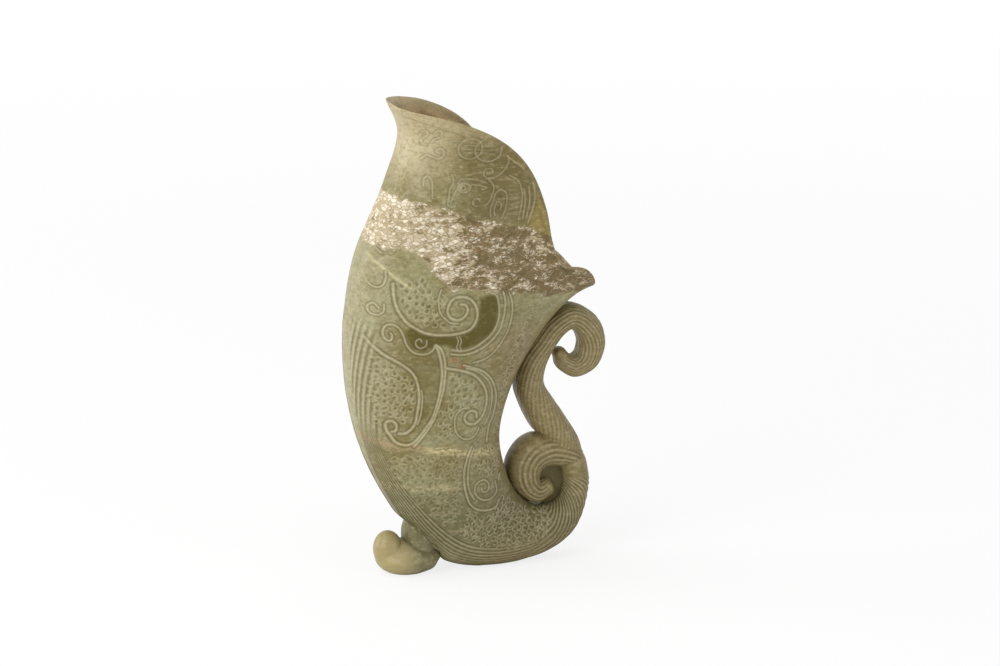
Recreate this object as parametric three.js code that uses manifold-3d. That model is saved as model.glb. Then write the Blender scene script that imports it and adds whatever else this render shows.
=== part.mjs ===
// A drinking horn carved from one block of olive-green stone: a tall curved cup with a flared, saddle-shaped
// mouth. Its narrow end turns up behind it and parts into a tight volute and a long strand with a hooked end.
// It stands on a small scroll foot and on a flat under its belly.
// A hairline seam divides the block at the carver's own boundaries, so each carved member is a solid.
// Millimetres, +Z up. The mirror plane is y = 0, and the tail is towards +X.

import * as THREE from 'three';
import { mergeVertices } from 'three/addons/utils/BufferGeometryUtils.js';
import Module from 'manifold-3d';

// The height of the rim's upper tip, how far the back swells out, and half the depth from side to side at the
// flared rim and at the chest
const HEIGHT = 197;
const BACK_SWELL = 53.5;
const RIM_HALF_DEPTH = 29;
const CHEST_HALF_DEPTH = 24;

// Stations down the horn: a point [x, z] on its back, the point across on its breast, half its depth there
const RIM = { back: [-34, HEIGHT], breast: [52.3, 115], halfDepth: RIM_HALF_DEPTH };
const NECK = { back: [-29.5, HEIGHT - 13], breast: [44, 110.4], halfDepth: CHEST_HALF_DEPTH * 0.98 };
const SHOULDER = { back: [-35.8, HEIGHT - 34], breast: [36, 104], halfDepth: CHEST_HALF_DEPTH };
const CHEST = { back: [4.3 - BACK_SWELL, 132], breast: [26.4, 92.4], halfDepth: CHEST_HALF_DEPTH };
const FLANK = { back: [-BACK_SWELL, 98], breast: [17, 76.2], halfDepth: CHEST_HALF_DEPTH * 0.96 };
const WAIST = { back: [3.9 - BACK_SWELL, 64], breast: [11.5, 56], halfDepth: CHEST_HALF_DEPTH * 0.9 };
const BELLY = { back: [-36.3, 32], breast: [14, 41], halfDepth: CHEST_HALF_DEPTH * 0.79 };
const TURN = { back: [-13, 3.8], breast: [19, 30], halfDepth: CHEST_HALF_DEPTH * 0.645 };
const ROOT = { back: [22, 0.1], breast: [28.5, 22.7], halfDepth: CHEST_HALF_DEPTH * 0.48 };
const TRUNK = { back: [43.2, 9.2], breast: [37.5, 24.4], halfDepth: CHEST_HALF_DEPTH * 0.395 };
const SPLIT = { back: [51, 29.5], breast: [40.5, 31], halfDepth: CHEST_HALF_DEPTH * 0.355 };
const STATIONS = [RIM, NECK, SHOULDER, CHEST, FLANK, WAIST, BELLY, TURN, ROOT, TRUNK, SPLIT];

// The rim seen from the side, at even steps between its two tips: high over the back, low at the spout
const RIM_RISE = [
  [-22, HEIGHT - 2.4],
  [-10.5, HEIGHT - 5.8],
  [2, HEIGHT - 12],
  [10.5, HEIGHT - 19],
  [17.2, 168.6],
  [22.9, 154],
  [26.4, 139],
  [31.4, 128.8],
  [44.4, 124.4],
];

// How full the sections are: 1 is an ellipse, less is nearer to a rounded box
const MOUTH_FULLNESS = 0.66;
const BODY_FULLNESS = 0.85;
const MEMBER_FULLNESS = 0.8;

// The wall of the hollow at the lip and at its floor
const LIP_WALL = 3;
const FLOOR_WALL = 6;

// Members swept along points in the mirror plane: [x, z, half width in the plane, half depth across it]
// The strand rises from the split, leans on the breast and ends in a hook under the spout
const STRAND = [
  [45, 37.5, 5.6, 8.5],
  [41, 46.5, 6.5, 8.5],
  [35.2, 55.6, 6.9, 8],
  [29.4, 65, 6.6, 8],
  [25.6, 74, 5.8, 8],
  [26.8, 82.5, 5.6, 7.5],
];
const HOOK = [
  [30.8, 90, 5.3, 7],
  [36.6, 97.4, 5.2, 7],
  [43.8, 101, 5.3, 7],
  [50.6, 96.8, 5.3, 7],
  [53.1, 89, 5.4, 7],
  [50.4, 82, 5.1, 6.5],
  [45.2, 79.8, 4.5, 6],
  [41, 82.2, 3.6, 5.5],
  [39.2, 85.6, 2.8, 4.5],
];

// The volute leaves the trunk under the strand and curls down in front of it, round a thin web of stone
const VOLUTE = [
  [44.4, 39.6, 5.4, 8],
  [39.6, 44.2, 6.6, 8],
  [33.2, 46, 7.4, 8.2],
  [26.8, 44.2, 7.7, 8.4],
  [23.2, 39, 7.4, 8.4],
  [24.2, 32, 6.3, 7.6],
  [28.6, 28.2, 5.2, 7],
  [33.4, 29.8, 4.2, 6.2],
];
const VOLUTE_ROOT = 4;
const WEB_THICKNESS = 4;

// The foot's stalk grows out of the horn between the belly and the turn
const FOOT_ROOT_WIDTH = 9;
const FOOT_ROOT_DEPTH = 8;
const FOOT_STALK = [
  [-18.8, 18, 12.3, 8.6],
  [-22, 10, 8.2, 9.4],
];

// The stalk spreads into a rounded bowl that rolls up behind into a knob: middle [x, z] and radii of each
const FOOT_BOWL = { middle: [-28.1, 5.3], radii: [12.4, 12, 6.8] };
const FOOT_KNOB = { middle: [-35.9, 10], radii: [6, 6.2, 7.6] };

// The seam between neighbouring members
const SEAM = 0.3;

// The stone's colour on each member, and its finish
const TAN = 0xa89873;
const GREY_GREEN = 0xa69978;
const GREEN = 0x95906d;
const OLIVE = 0x6f694d;
const MOSS = 0x8b8361;
const BROWN = 0x837551;
const HONEY = 0xb3a681;
const ROUGHNESS = 0.42;

// Facets round the horn and round a member, and rings for each station or point
const HORN_SIDES = 44;
const MEMBER_SIDES = 18;
const RINGS_PER_STATION = 3;
const RINGS_PER_POINT = 2;

const wasm = await Module();
wasm.setup();

const at = (station) => STATIONS.indexOf(station);
const inPlane = ([x, z]) => new THREE.Vector3(x, 0, z);
const LAST = STATIONS.length - 1;
const backLine = new THREE.CatmullRomCurve3(STATIONS.map((station) => inPlane(station.back)));
const breastLine = new THREE.CatmullRomCurve3(STATIONS.map((station) => inPlane(station.breast)));
const depthLine = new THREE.SplineCurve(STATIONS.map((s, i) => new THREE.Vector2(i, s.halfDepth)));
const rimLine = new THREE.CatmullRomCurve3([RIM.back, ...RIM_RISE, RIM.breast].map(inPlane));

// Sine with its flanks filled out
const fuller = (sine, fullness) => Math.sign(sine) * Math.abs(sine) ** fullness;

// The middle of the horn at a station, in the mirror plane
function hornMiddle(station) {
  return backLine.getPoint(station / LAST).lerp(breastLine.getPoint(station / LAST), 0.5);
}

// How far the rim stands off the straight line between its tips, at a share of the way along it
function saddle(share) {
  return rimLine.getPoint(share).sub(inPlane(RIM.back).lerp(inPlane(RIM.breast), share));
}

// A point of the horn's skin: down the horn by station, round it by angle, set in by a wall and shrunk
function hornPoint(station, angle, inset, shrink) {
  const middle = hornMiddle(station);
  const reach = backLine.getPoint(station / LAST).sub(middle);
  const fade = Math.max(0, 1 - station / at(CHEST)) ** 2;
  const fullness = MOUTH_FULLNESS * fade + BODY_FULLNESS * (1 - fade);
  const depth = depthLine.getPoint(station / LAST).y - inset;
  const point = middle.addScaledVector(reach.setLength(reach.length() - inset), shrink * Math.cos(angle));
  point.addScaledVector(saddle((1 - Math.cos(angle)) / 2), fade);
  point.y = -shrink * depth * fuller(Math.sin(angle), fullness);
  return point;
}

// A ring of the horn's skin, moved along the horn by a shift in millimetres
function hornRing(station, { shift = 0, inset = 0, shrink = 1 } = {}) {
  const nudge = 0.01;
  return Array.from({ length: HORN_SIDES }, (_, i) => {
    const angle = (2 * Math.PI * i) / HORN_SIDES;
    const before = hornPoint(Math.max(station - nudge, 0), angle, inset, shrink);
    const after = hornPoint(Math.min(station + nudge, LAST), angle, inset, shrink);
    const along = after.sub(before).normalize();
    return hornPoint(station, angle, inset, shrink).addScaledVector(along, shift);
  });
}

// Even steps from one number to another, with both ends
function steps(from, to, perUnit) {
  const count = Math.max(1, Math.ceil((to - from) * perUnit));
  return Array.from({ length: count + 1 }, (_, i) => from + ((to - from) * i) / count);
}

// Half a seam off each end of a stretch, but not off the rim
function seamShift(station, from, to) {
  if (station === from) return from === at(RIM) ? 0 : SEAM / 2;
  return station === to ? -SEAM / 2 : 0;
}

// Rings of the horn's outer skin from one station to another
function hornRings(from, to) {
  return steps(from, to, RINGS_PER_STATION).map((s) => hornRing(s, { shift: seamShift(s, from, to) }));
}

// Rings of the hollow's skin from one station to another, where the wall thickens and the floor closes round
function hollowRings(from, to) {
  const floorStart = at(FLANK);
  const floorEnd = at(WAIST);
  return steps(from, Math.min(to, floorEnd), RINGS_PER_STATION).map((station) => {
    const inset = LIP_WALL + ((FLOOR_WALL - LIP_WALL) * station) / floorEnd;
    const into = Math.max(0, (station - floorStart) / (floorEnd - floorStart));
    const shrink = Math.sqrt(Math.max(0.01, 1 - into ** 2));
    return hornRing(station, { shift: seamShift(station, from, to), inset, shrink });
  });
}

// A geometry whose faces all point out of the body that they close
function facingOut(points, faces) {
  let volume = 0;
  for (let f = 0; f < faces.length; f += 3) {
    const [a, b, c] = faces.slice(f, f + 3).map((i) => points[i]);
    volume += a.dot(b.clone().cross(c));
  }
  const geometry = new THREE.BufferGeometry().setFromPoints(points);
  geometry.setIndex(volume > 0 ? faces : faces.reverse());
  return geometry;
}

// A closed skin over rings of points: capped at both ends, or joined last ring to first
function skin(rings, looped = false) {
  const sides = rings[0].length;
  const points = rings.flat();
  const faces = [];
  const bands = looped ? rings.length : rings.length - 1;
  for (let band = 0; band < bands; band++) {
    const here = band * sides;
    const there = ((band + 1) % rings.length) * sides;
    for (let i = 0; i < sides; i++) {
      const next = (i + 1) % sides;
      faces.push(here + i, here + next, there + next);
      faces.push(here + i, there + next, there + i);
    }
  }
  if (!looped) {
    const lastStart = (rings.length - 1) * sides;
    for (let i = 0; i < sides; i++) {
      const next = (i + 1) % sides;
      faces.push(points.length, next, i);
      faces.push(points.length + 1, lastStart + i, lastStart + next);
    }
    for (const ring of [rings[0], rings.at(-1)]) {
      points.push(ring.reduce((sum, p) => sum.add(p), new THREE.Vector3()).divideScalar(sides));
    }
  }
  return facingOut(points, faces);
}

// A stretch of a member swept along its points, by point number, swollen all round where it is a cutter
function sweep(points, from, to, { swell = 0, startShift = 0, endShift = 0 } = {}) {
  const end = points.length - 1;
  const line = new THREE.CatmullRomCurve3(points.map(([x, z]) => inPlane([x, z])));
  const sizes = new THREE.SplineCurve(points.map(([, , width, depth]) => new THREE.Vector2(width, depth)));
  const across = new THREE.Vector3(0, 1, 0);
  const rings = steps(from, to, RINGS_PER_POINT).map((place) => {
    const along = line.getTangent(place / end);
    const side = along.clone().cross(across);
    const shift = place === from ? startShift : place === to ? endShift : 0;
    const centre = line.getPoint(place / end).addScaledVector(along, shift);
    const { x: width, y: depth } = sizes.getPoint(place / end);
    return Array.from({ length: MEMBER_SIDES }, (_, i) => {
      const angle = (2 * Math.PI * i) / MEMBER_SIDES;
      const point = centre.clone().addScaledVector(side, (width + swell) * Math.cos(angle));
      return point.addScaledVector(across, (depth + swell) * fuller(Math.sin(angle), MEMBER_FULLNESS));
    });
  });
  return skin(rings);
}

// Geometry to solid
function toSolid(geometry) {
  const bare = new THREE.BufferGeometry();
  bare.setAttribute('position', geometry.getAttribute('position').clone());
  bare.setIndex(geometry.getIndex());
  const merged = mergeVertices(bare);
  const vertProperties = new Float32Array(merged.getAttribute('position').array);
  const triVerts = new Uint32Array(merged.getIndex().array);
  return new wasm.Manifold(new wasm.Mesh({ numProp: 3, vertProperties, triVerts }));
}

// Solid to geometry, cut off flat where it would go under the ground
function toGeometry(solid) {
  const mesh = solid.trimByPlane([0, 0, 1], 0).getMesh();
  const result = new THREE.BufferGeometry();
  result.setAttribute('position', new THREE.BufferAttribute(new Float32Array(mesh.vertProperties), 3));
  result.setIndex(new THREE.BufferAttribute(new Uint32Array(mesh.triVerts), 1));
  return result;
}

// A geometry cut clear of others
function cut(geometry, ...cutters) {
  return toGeometry(cutters.reduce((rest, cutter) => rest.subtract(toSolid(cutter)), toSolid(geometry)));
}

// Two geometries made one
function join(first, second) {
  return toGeometry(toSolid(first).add(toSolid(second)));
}

// The web that fills the volute: a plate whose outline goes along the volute and back up the trunk
function web() {
  const outline = [...VOLUTE, TRUNK.breast, SPLIT.breast].map(([x, z]) => new THREE.Vector2(x, z));
  const shape = new THREE.Shape(outline);
  const plate = new THREE.ExtrudeGeometry(shape, { depth: WEB_THICKNESS, bevelEnabled: false });
  return plate.rotateX(Math.PI / 2).translate(0, WEB_THICKNESS / 2, 0);
}

// An egg across the mirror plane
function egg({ middle, radii }) {
  const ball = new THREE.SphereGeometry(1, 2 * MEMBER_SIDES, MEMBER_SIDES);
  return ball.scale(...radii).translate(middle[0], 0, middle[1]);
}

// A stretch of the hollow horn: the outer skin down and the hollow's skin back up
function wallStretch(from, to) {
  return skin([...hornRings(from, to), ...hollowRings(from, to).reverse()], true);
}

// The stretch that holds the hollow's floor: from the floor up to the seam, then down the outside
function floorStretch(from, to) {
  return skin([...hollowRings(from, to).reverse(), ...hornRings(from, to)]);
}

// The members' full lines: the strand starts as the trunk ends, and the foot starts inside the horn
const splitMiddle = hornMiddle(at(SPLIT));
const splitWidth = inPlane(SPLIT.back).distanceTo(inPlane(SPLIT.breast)) / 2;
const footRoot = hornMiddle((at(BELLY) + at(TURN)) / 2);
const strandLine = [[splitMiddle.x, splitMiddle.z, splitWidth, SPLIT.halfDepth], ...STRAND, ...HOOK];
const voluteLine = [[splitMiddle.x, splitMiddle.z, VOLUTE_ROOT, VOLUTE_ROOT], ...VOLUTE];
const footLine = [[footRoot.x, footRoot.z, FOOT_ROOT_WIDTH, FOOT_ROOT_DEPTH], ...FOOT_STALK];
const hookStart = STRAND.length + 1;

// What members are cut clear of: the horn and the strand, swollen by a seam
const hornClear = skin(steps(0, LAST, RINGS_PER_STATION).map((s) => hornRing(s, { inset: -SEAM })));
const strandClear = sweep(strandLine, 0, hookStart, { swell: SEAM, startShift: -SEAM, endShift: SEAM });

const group = new THREE.Group();

function addMember(name, geometry, colour) {
  geometry.computeVertexNormals();
  const stone = new THREE.MeshStandardMaterial({ color: colour, roughness: ROUGHNESS, metalness: 0 });
  const mesh = new THREE.Mesh(geometry, stone);
  mesh.name = name;
  group.add(mesh);
}

addMember('lip_band', wallStretch(at(RIM), at(NECK)), TAN);
addMember('upper_horn', wallStretch(at(NECK), at(CHEST)), GREY_GREEN);
addMember('lower_horn', floorStretch(at(CHEST), at(BELLY)), GREEN);
addMember('belly', cut(skin(hornRings(at(BELLY), at(ROOT)))), OLIVE);
addMember('tail_trunk', skin(hornRings(at(ROOT), at(SPLIT))), MOSS);

const strand = sweep(strandLine, 0, hookStart, { startShift: SEAM / 2, endShift: -SEAM / 2 });
const hook = sweep(strandLine, hookStart, strandLine.length - 1, { startShift: SEAM / 2 });
const volute = join(sweep(voluteLine, 0, voluteLine.length - 1), web());
addMember('tail_strand', cut(strand, hornClear), MOSS);
addMember('tail_hook', cut(hook, hornClear), BROWN);
addMember('tail_volute', cut(volute, hornClear, strandClear), MOSS);

const stalk = sweep(footLine, 0, FOOT_STALK.length);
const stalkClear = sweep(footLine, 0, FOOT_STALK.length, { swell: SEAM, endShift: SEAM });
const scroll = join(egg(FOOT_BOWL), egg(FOOT_KNOB));
addMember('foot_stalk', cut(stalk, hornClear), OLIVE);
addMember('foot_scroll', cut(scroll, hornClear, stalkClear), HONEY);

// The origin is under the middle of the part, on the surface that it stands on
const box = new THREE.Box3().setFromObject(group);
group.position.set(-(box.min.x + box.max.x) / 2, 0, -box.min.z);

export default group;
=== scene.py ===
"""A drinking horn carved from one block of olive-green stone, with engraved scrolls and a curled tail.

Lengths are millimetres until a mesh is made, and metres after that. The frame is the row's: +Z up, mirror
plane y = 0, tail towards +X.
"""
import math

import bpy
import numpy as np
from mathutils import Matrix, Vector
from mathutils.bvhtree import BVHTree


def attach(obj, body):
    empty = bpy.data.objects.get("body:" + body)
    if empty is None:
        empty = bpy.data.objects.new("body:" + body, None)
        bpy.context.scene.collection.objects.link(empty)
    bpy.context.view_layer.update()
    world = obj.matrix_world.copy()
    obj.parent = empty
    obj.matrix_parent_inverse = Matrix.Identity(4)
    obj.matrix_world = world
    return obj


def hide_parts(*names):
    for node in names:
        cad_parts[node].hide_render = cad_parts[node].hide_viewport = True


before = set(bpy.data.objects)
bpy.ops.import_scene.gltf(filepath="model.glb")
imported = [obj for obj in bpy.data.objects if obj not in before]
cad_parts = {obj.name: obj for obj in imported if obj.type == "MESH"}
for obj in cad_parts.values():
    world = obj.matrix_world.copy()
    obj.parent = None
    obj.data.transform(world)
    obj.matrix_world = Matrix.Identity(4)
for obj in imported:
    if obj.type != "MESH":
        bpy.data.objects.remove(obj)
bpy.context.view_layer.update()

MM = 0.001

# The horn
HEIGHT = 197
BACK_SWELL = 53.5
CHEST_HALF_DEPTH = 24
RIM_HALF_DEPTH = 29
ORIGIN_SHIFT = -2.5
BACK = [
    (-34, HEIGHT), (-29.5, HEIGHT - 13), (-35.8, HEIGHT - 34), (4.3 - BACK_SWELL, 132), (-BACK_SWELL, 98),
    (3.9 - BACK_SWELL, 64), (-36.3, 32), (-13, 3.8), (22, 0.1), (43.2, 9.2), (51, 29.5),
]
BREAST = [
    (52.3, 115), (44, 110.4), (36, 104), (26.4, 92.4), (17, 76.2), (11.5, 56), (14, 41), (19, 30),
    (28.5, 22.7), (37.5, 24.4), (40.5, 31),
]
DEPTH_SHARES = [0.98, 1, 1, 0.96, 0.9, 0.79, 0.645, 0.48, 0.395, 0.355]
RIM_RISE = [
    (-22, HEIGHT - 2.4), (-10.5, HEIGHT - 5.8), (2, HEIGHT - 12), (10.5, HEIGHT - 19), (17.2, 168.6),
    (22.9, 154), (26.4, 139), (31.4, 128.8), (44.4, 124.4),
]
# How full a section is across the mirror plane: 1 is an ellipse, and less is fuller
MOUTH_FULLNESS = 0.66
BODY_FULLNESS = 0.85
MEMBER_FULLNESS = 0.8
LIP_WALL = 3
FLOOR_WALL = 6
# The lip's rounded edge: the place where it starts, how far in its top lies, its steps, and the rows inside it
LIP_ROLL = 0.14
LIP_EDGE = 1
LIP_STEPS = 12
LIP_ROWS = 9
# The horn's stations, by their numbers
NECK, CHEST, FLANK, WAIST, BELLY, TURN, ROOT, SPLIT = 1, 3, 4, 5, 6, 7, 8, 10

# Members along the mirror plane: x, z, half width in the plane, half depth across it
STRAND = [
    (45, 37.5, 5.6, 8.5), (41, 46.5, 6.5, 8.5), (35.2, 55.6, 6.9, 8), (29.4, 65, 6.6, 8), (25.6, 74, 5.8, 8),
    (26.8, 82.5, 5.6, 7.5),
]
HOOK = [
    (30.8, 90, 5.3, 7), (36.6, 97.4, 5.2, 7), (43.8, 101, 5.3, 7), (50.6, 96.8, 5.3, 7), (53.1, 89, 5.4, 7),
    (50.4, 82, 5.1, 6.5), (45.2, 79.8, 4.5, 6), (41, 82.2, 3.6, 5.5), (39.2, 85.6, 2.8, 4.5),
]
VOLUTE = [
    (48, 39.6, 3.6, 1.5), (45.8, 41, 4.8, 7.6), (42.8, 42.9, 5.9, 9), (38.8, 44.7, 6.6, 8.6),
    (33.2, 46, 7.4, 8.2), (26.8, 44.2, 7.7, 8.4), (23.2, 39, 7.4, 8.4), (24.2, 32, 6.3, 7.6),
    (28.6, 28.2, 5.2, 7), (33.4, 29.8, 4.2, 6.2),
]
# The thin web that closes the volute's eye: middle, radius and half thickness, the number of its sides, and
# its section as shares of the radius and of the half thickness
WEB = (35.5, 35, 12.5, 2)
WEB_SIDES = 48
WEB_SECTION = [(0.02, 0.6), (0.5, 0.75), (1, 1), (1, -1), (0.5, -0.75), (0.02, -0.6)]
FOOT_ROOT = (9, 8)
STALK = [(-18.8, 18, 12.3, 8.6), (-22, 10.8, 8.5, 9.6), (-24.4, 6.6, 6.6, 11.4)]
# The foot's rounded bowl and the knob that it rolls up into: middle and radii
BOWL = ((-28.1, 0, 5.3), (12.4, 12, 6.8))
KNOB = ((-35.9, 0, 10), (6, 6.2, 7.6))
HOOK_START = SPLIT + 7
# How far the tail's two ends are rounded off
DOME_LENGTH = 2.6
DOME_ROWS = 6

# How finely the skins are divided: points round a section, the spacing of rows, and the rows of the hollow
COLUMNS = 88
ROW = 2.2
TAIL_ROW = 0.6
STALK_ROW = 1.0
HOLLOW_ROWS = 24
FINEST = 3
# A face is split if its corners differ in height by more than this in a round, or are marked more than this
SPLIT_STEPS = (0.02, 0.02, 0.06)
SPLIT_MARK = 0.3
# A small step along a limb, for measuring directions
NUDGE = 0.01


def spline(points, place):
    """Points of a centripetal Catmull-Rom curve, at places counted in its points."""
    p = np.asarray(points, float)
    p = np.vstack([2 * p[0] - p[1], p, 2 * p[-1] - p[-2]])
    place = np.clip(np.asarray(place, float), 0, len(points) - 1)
    i = np.minimum(place.astype(int), len(points) - 2)
    u = (place - i)[..., None]
    p0, p1, p2, p3 = p[i], p[i + 1], p[i + 2], p[i + 3]
    d0, d1, d2 = (
        np.sqrt(np.linalg.norm(b - a, axis=-1))[..., None] + 1e-9 for a, b in ((p0, p1), (p1, p2), (p2, p3))
    )
    m1 = ((p1 - p0) / d0 - (p2 - p0) / (d0 + d1) + (p2 - p1) / d1) * d1
    m2 = ((p2 - p1) / d1 - (p3 - p1) / (d1 + d2) + (p3 - p2) / d2) * d1
    return (
        (2 * u**3 - 3 * u**2 + 1) * p1 + (u**3 - 2 * u**2 + u) * m1
        + (3 * u**2 - 2 * u**3) * p2 + (u**3 - u**2) * m2
    )


def smoothstep(low, high, value):
    t = np.clip((value - low) / (high - low), 0, 1)
    return t * t * (3 - 2 * t)


def unit_length(vectors):
    return vectors / np.maximum(np.linalg.norm(vectors, axis=-1, keepdims=True), 1e-12)


def between(span, value):
    """1 inside a span, which fades in over its first two numbers and out over its last two."""
    return smoothstep(span[0], span[1], value) * (1 - smoothstep(span[2], span[3], value))


def sides_of(rows):
    """The outer and inner edge of a member at each of its points, and its half depth there."""
    rows = np.array(rows, float)
    last = len(rows) - 1
    number = np.arange(last + 1)
    ahead = spline(rows[:, :2], np.minimum(number + NUDGE, last))
    run = unit_length(ahead - spline(rows[:, :2], np.maximum(number - NUDGE, 0)))
    side = np.stack([-run[:, 1], run[:, 0]], 1) * rows[:, 2:3]
    return rows[:, :2] - side, rows[:, :2] + side, rows[:, 3]


class Limb:
    """A skin of rounded sections strung along an outer and an inner edge in the mirror plane."""

    def __init__(self, outer, inner, depth):
        self.outer, self.inner, self.depth = outer, inner, np.asarray(depth, float)[:, None]
        self.last = len(depth) - 1

    def fullness(self, place):
        return np.full_like(place, MEMBER_FULLNESS)

    def lift(self, place, angle):
        return 0

    def point(self, place, angle, inset=0.0, shrink=1.0):
        place, angle = np.broadcast_arrays(np.asarray(place, float), np.asarray(angle, float))
        outer, inner = spline(self.outer, place), spline(self.inner, place)
        middle, reach = (outer + inner) / 2, (outer - inner) / 2
        length = np.linalg.norm(reach, axis=-1)
        reach = reach * (shrink * (length - inset) / length * np.cos(angle))[..., None]
        sine = np.sin(angle)
        full = np.sign(sine) * np.abs(sine) ** self.fullness(place)
        y = -shrink * (spline(self.depth, place)[..., 0] - inset) * full
        xz = middle + reach + self.lift(place, angle)
        return np.stack([xz[..., 0] + ORIGIN_SHIFT, y, xz[..., 1]], -1)

    def normal(self, place, angle):
        step = 0.004
        angle = np.where(np.abs(np.sin(angle)) < 0.02, angle + 0.02, angle)
        across = self.point(place, angle + step) - self.point(place, angle - step)
        down = self.point(np.minimum(place + step, self.last), angle)
        down = down - self.point(np.maximum(place - step, 0), angle)
        return unit_length(np.cross(across, down))


class Horn(Limb):
    """The horn from its rim to the tip of the hook."""

    def mouth(self, place):
        """How much of the mouth's own shape there is at a place."""
        return np.maximum(0, 1 - place / CHEST) ** 2

    def fullness(self, place):
        along = np.clip((place - ROOT) / (SPLIT - ROOT), 0, 1)
        body = BODY_FULLNESS + (MEMBER_FULLNESS - BODY_FULLNESS) * along
        return MOUTH_FULLNESS * self.mouth(place) + body * (1 - self.mouth(place))

    def lift(self, place, angle):
        share = (1 - np.cos(angle)) / 2
        rim = [BACK[0]] + RIM_RISE + [BREAST[0]]
        straight = np.array(BACK[0]) + share[..., None] * (np.array(BREAST[0]) - np.array(BACK[0]))
        return (spline(rim, share * (len(rim) - 1)) - straight) * self.mouth(place)[..., None]


def whole_horn():
    depth = [RIM_HALF_DEPTH] + [CHEST_HALF_DEPTH * share for share in DEPTH_SHARES]
    split = (np.array(BACK[-1]) + np.array(BREAST[-1])) / 2
    width = math.dist(BACK[-1], BREAST[-1]) / 2
    outer, inner, depths = sides_of([(*split, width, depth[-1]), *STRAND, *HOOK])
    return Horn(np.vstack([BACK, outer[1:]]), np.vstack([BREAST, inner[1:]]), [*depth, *depths[1:]])


horn = whole_horn()
volute = Limb(*sides_of(VOLUTE))
foot_start = (spline(BACK, BELLY + 0.5) + spline(BREAST, BELLY + 0.5)) / 2
stalk = Limb(*sides_of([(*foot_start, *FOOT_ROOT), *STALK]))


def even_angles():
    """Angles that are evenly spaced along the section below the neck."""
    fine = np.linspace(0, 2 * np.pi, 4001)
    ring = horn.point(np.full_like(fine, NECK + 0.5), fine)
    run = np.concatenate([[0], np.cumsum(np.linalg.norm(np.diff(ring, axis=0), axis=1))])
    return np.interp(np.linspace(0, run[-1], COLUMNS + 1)[:-1], run, fine)


def halved(angles):
    """Angles with another between each two."""
    after = np.append(angles[1:], 2 * np.pi)
    return np.stack([angles, (angles + after) / 2], 1).ravel()


ANGLES = even_angles()
DENSE = ANGLES
for _ in range(FINEST):
    DENSE = halved(DENSE)


def hoop(x, z, radius):
    """A closed ring of points."""
    turns = np.linspace(0, 2 * np.pi, 13)
    return [(x + radius * math.cos(t), z + radius * math.sin(t)) for t in turns]


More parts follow.
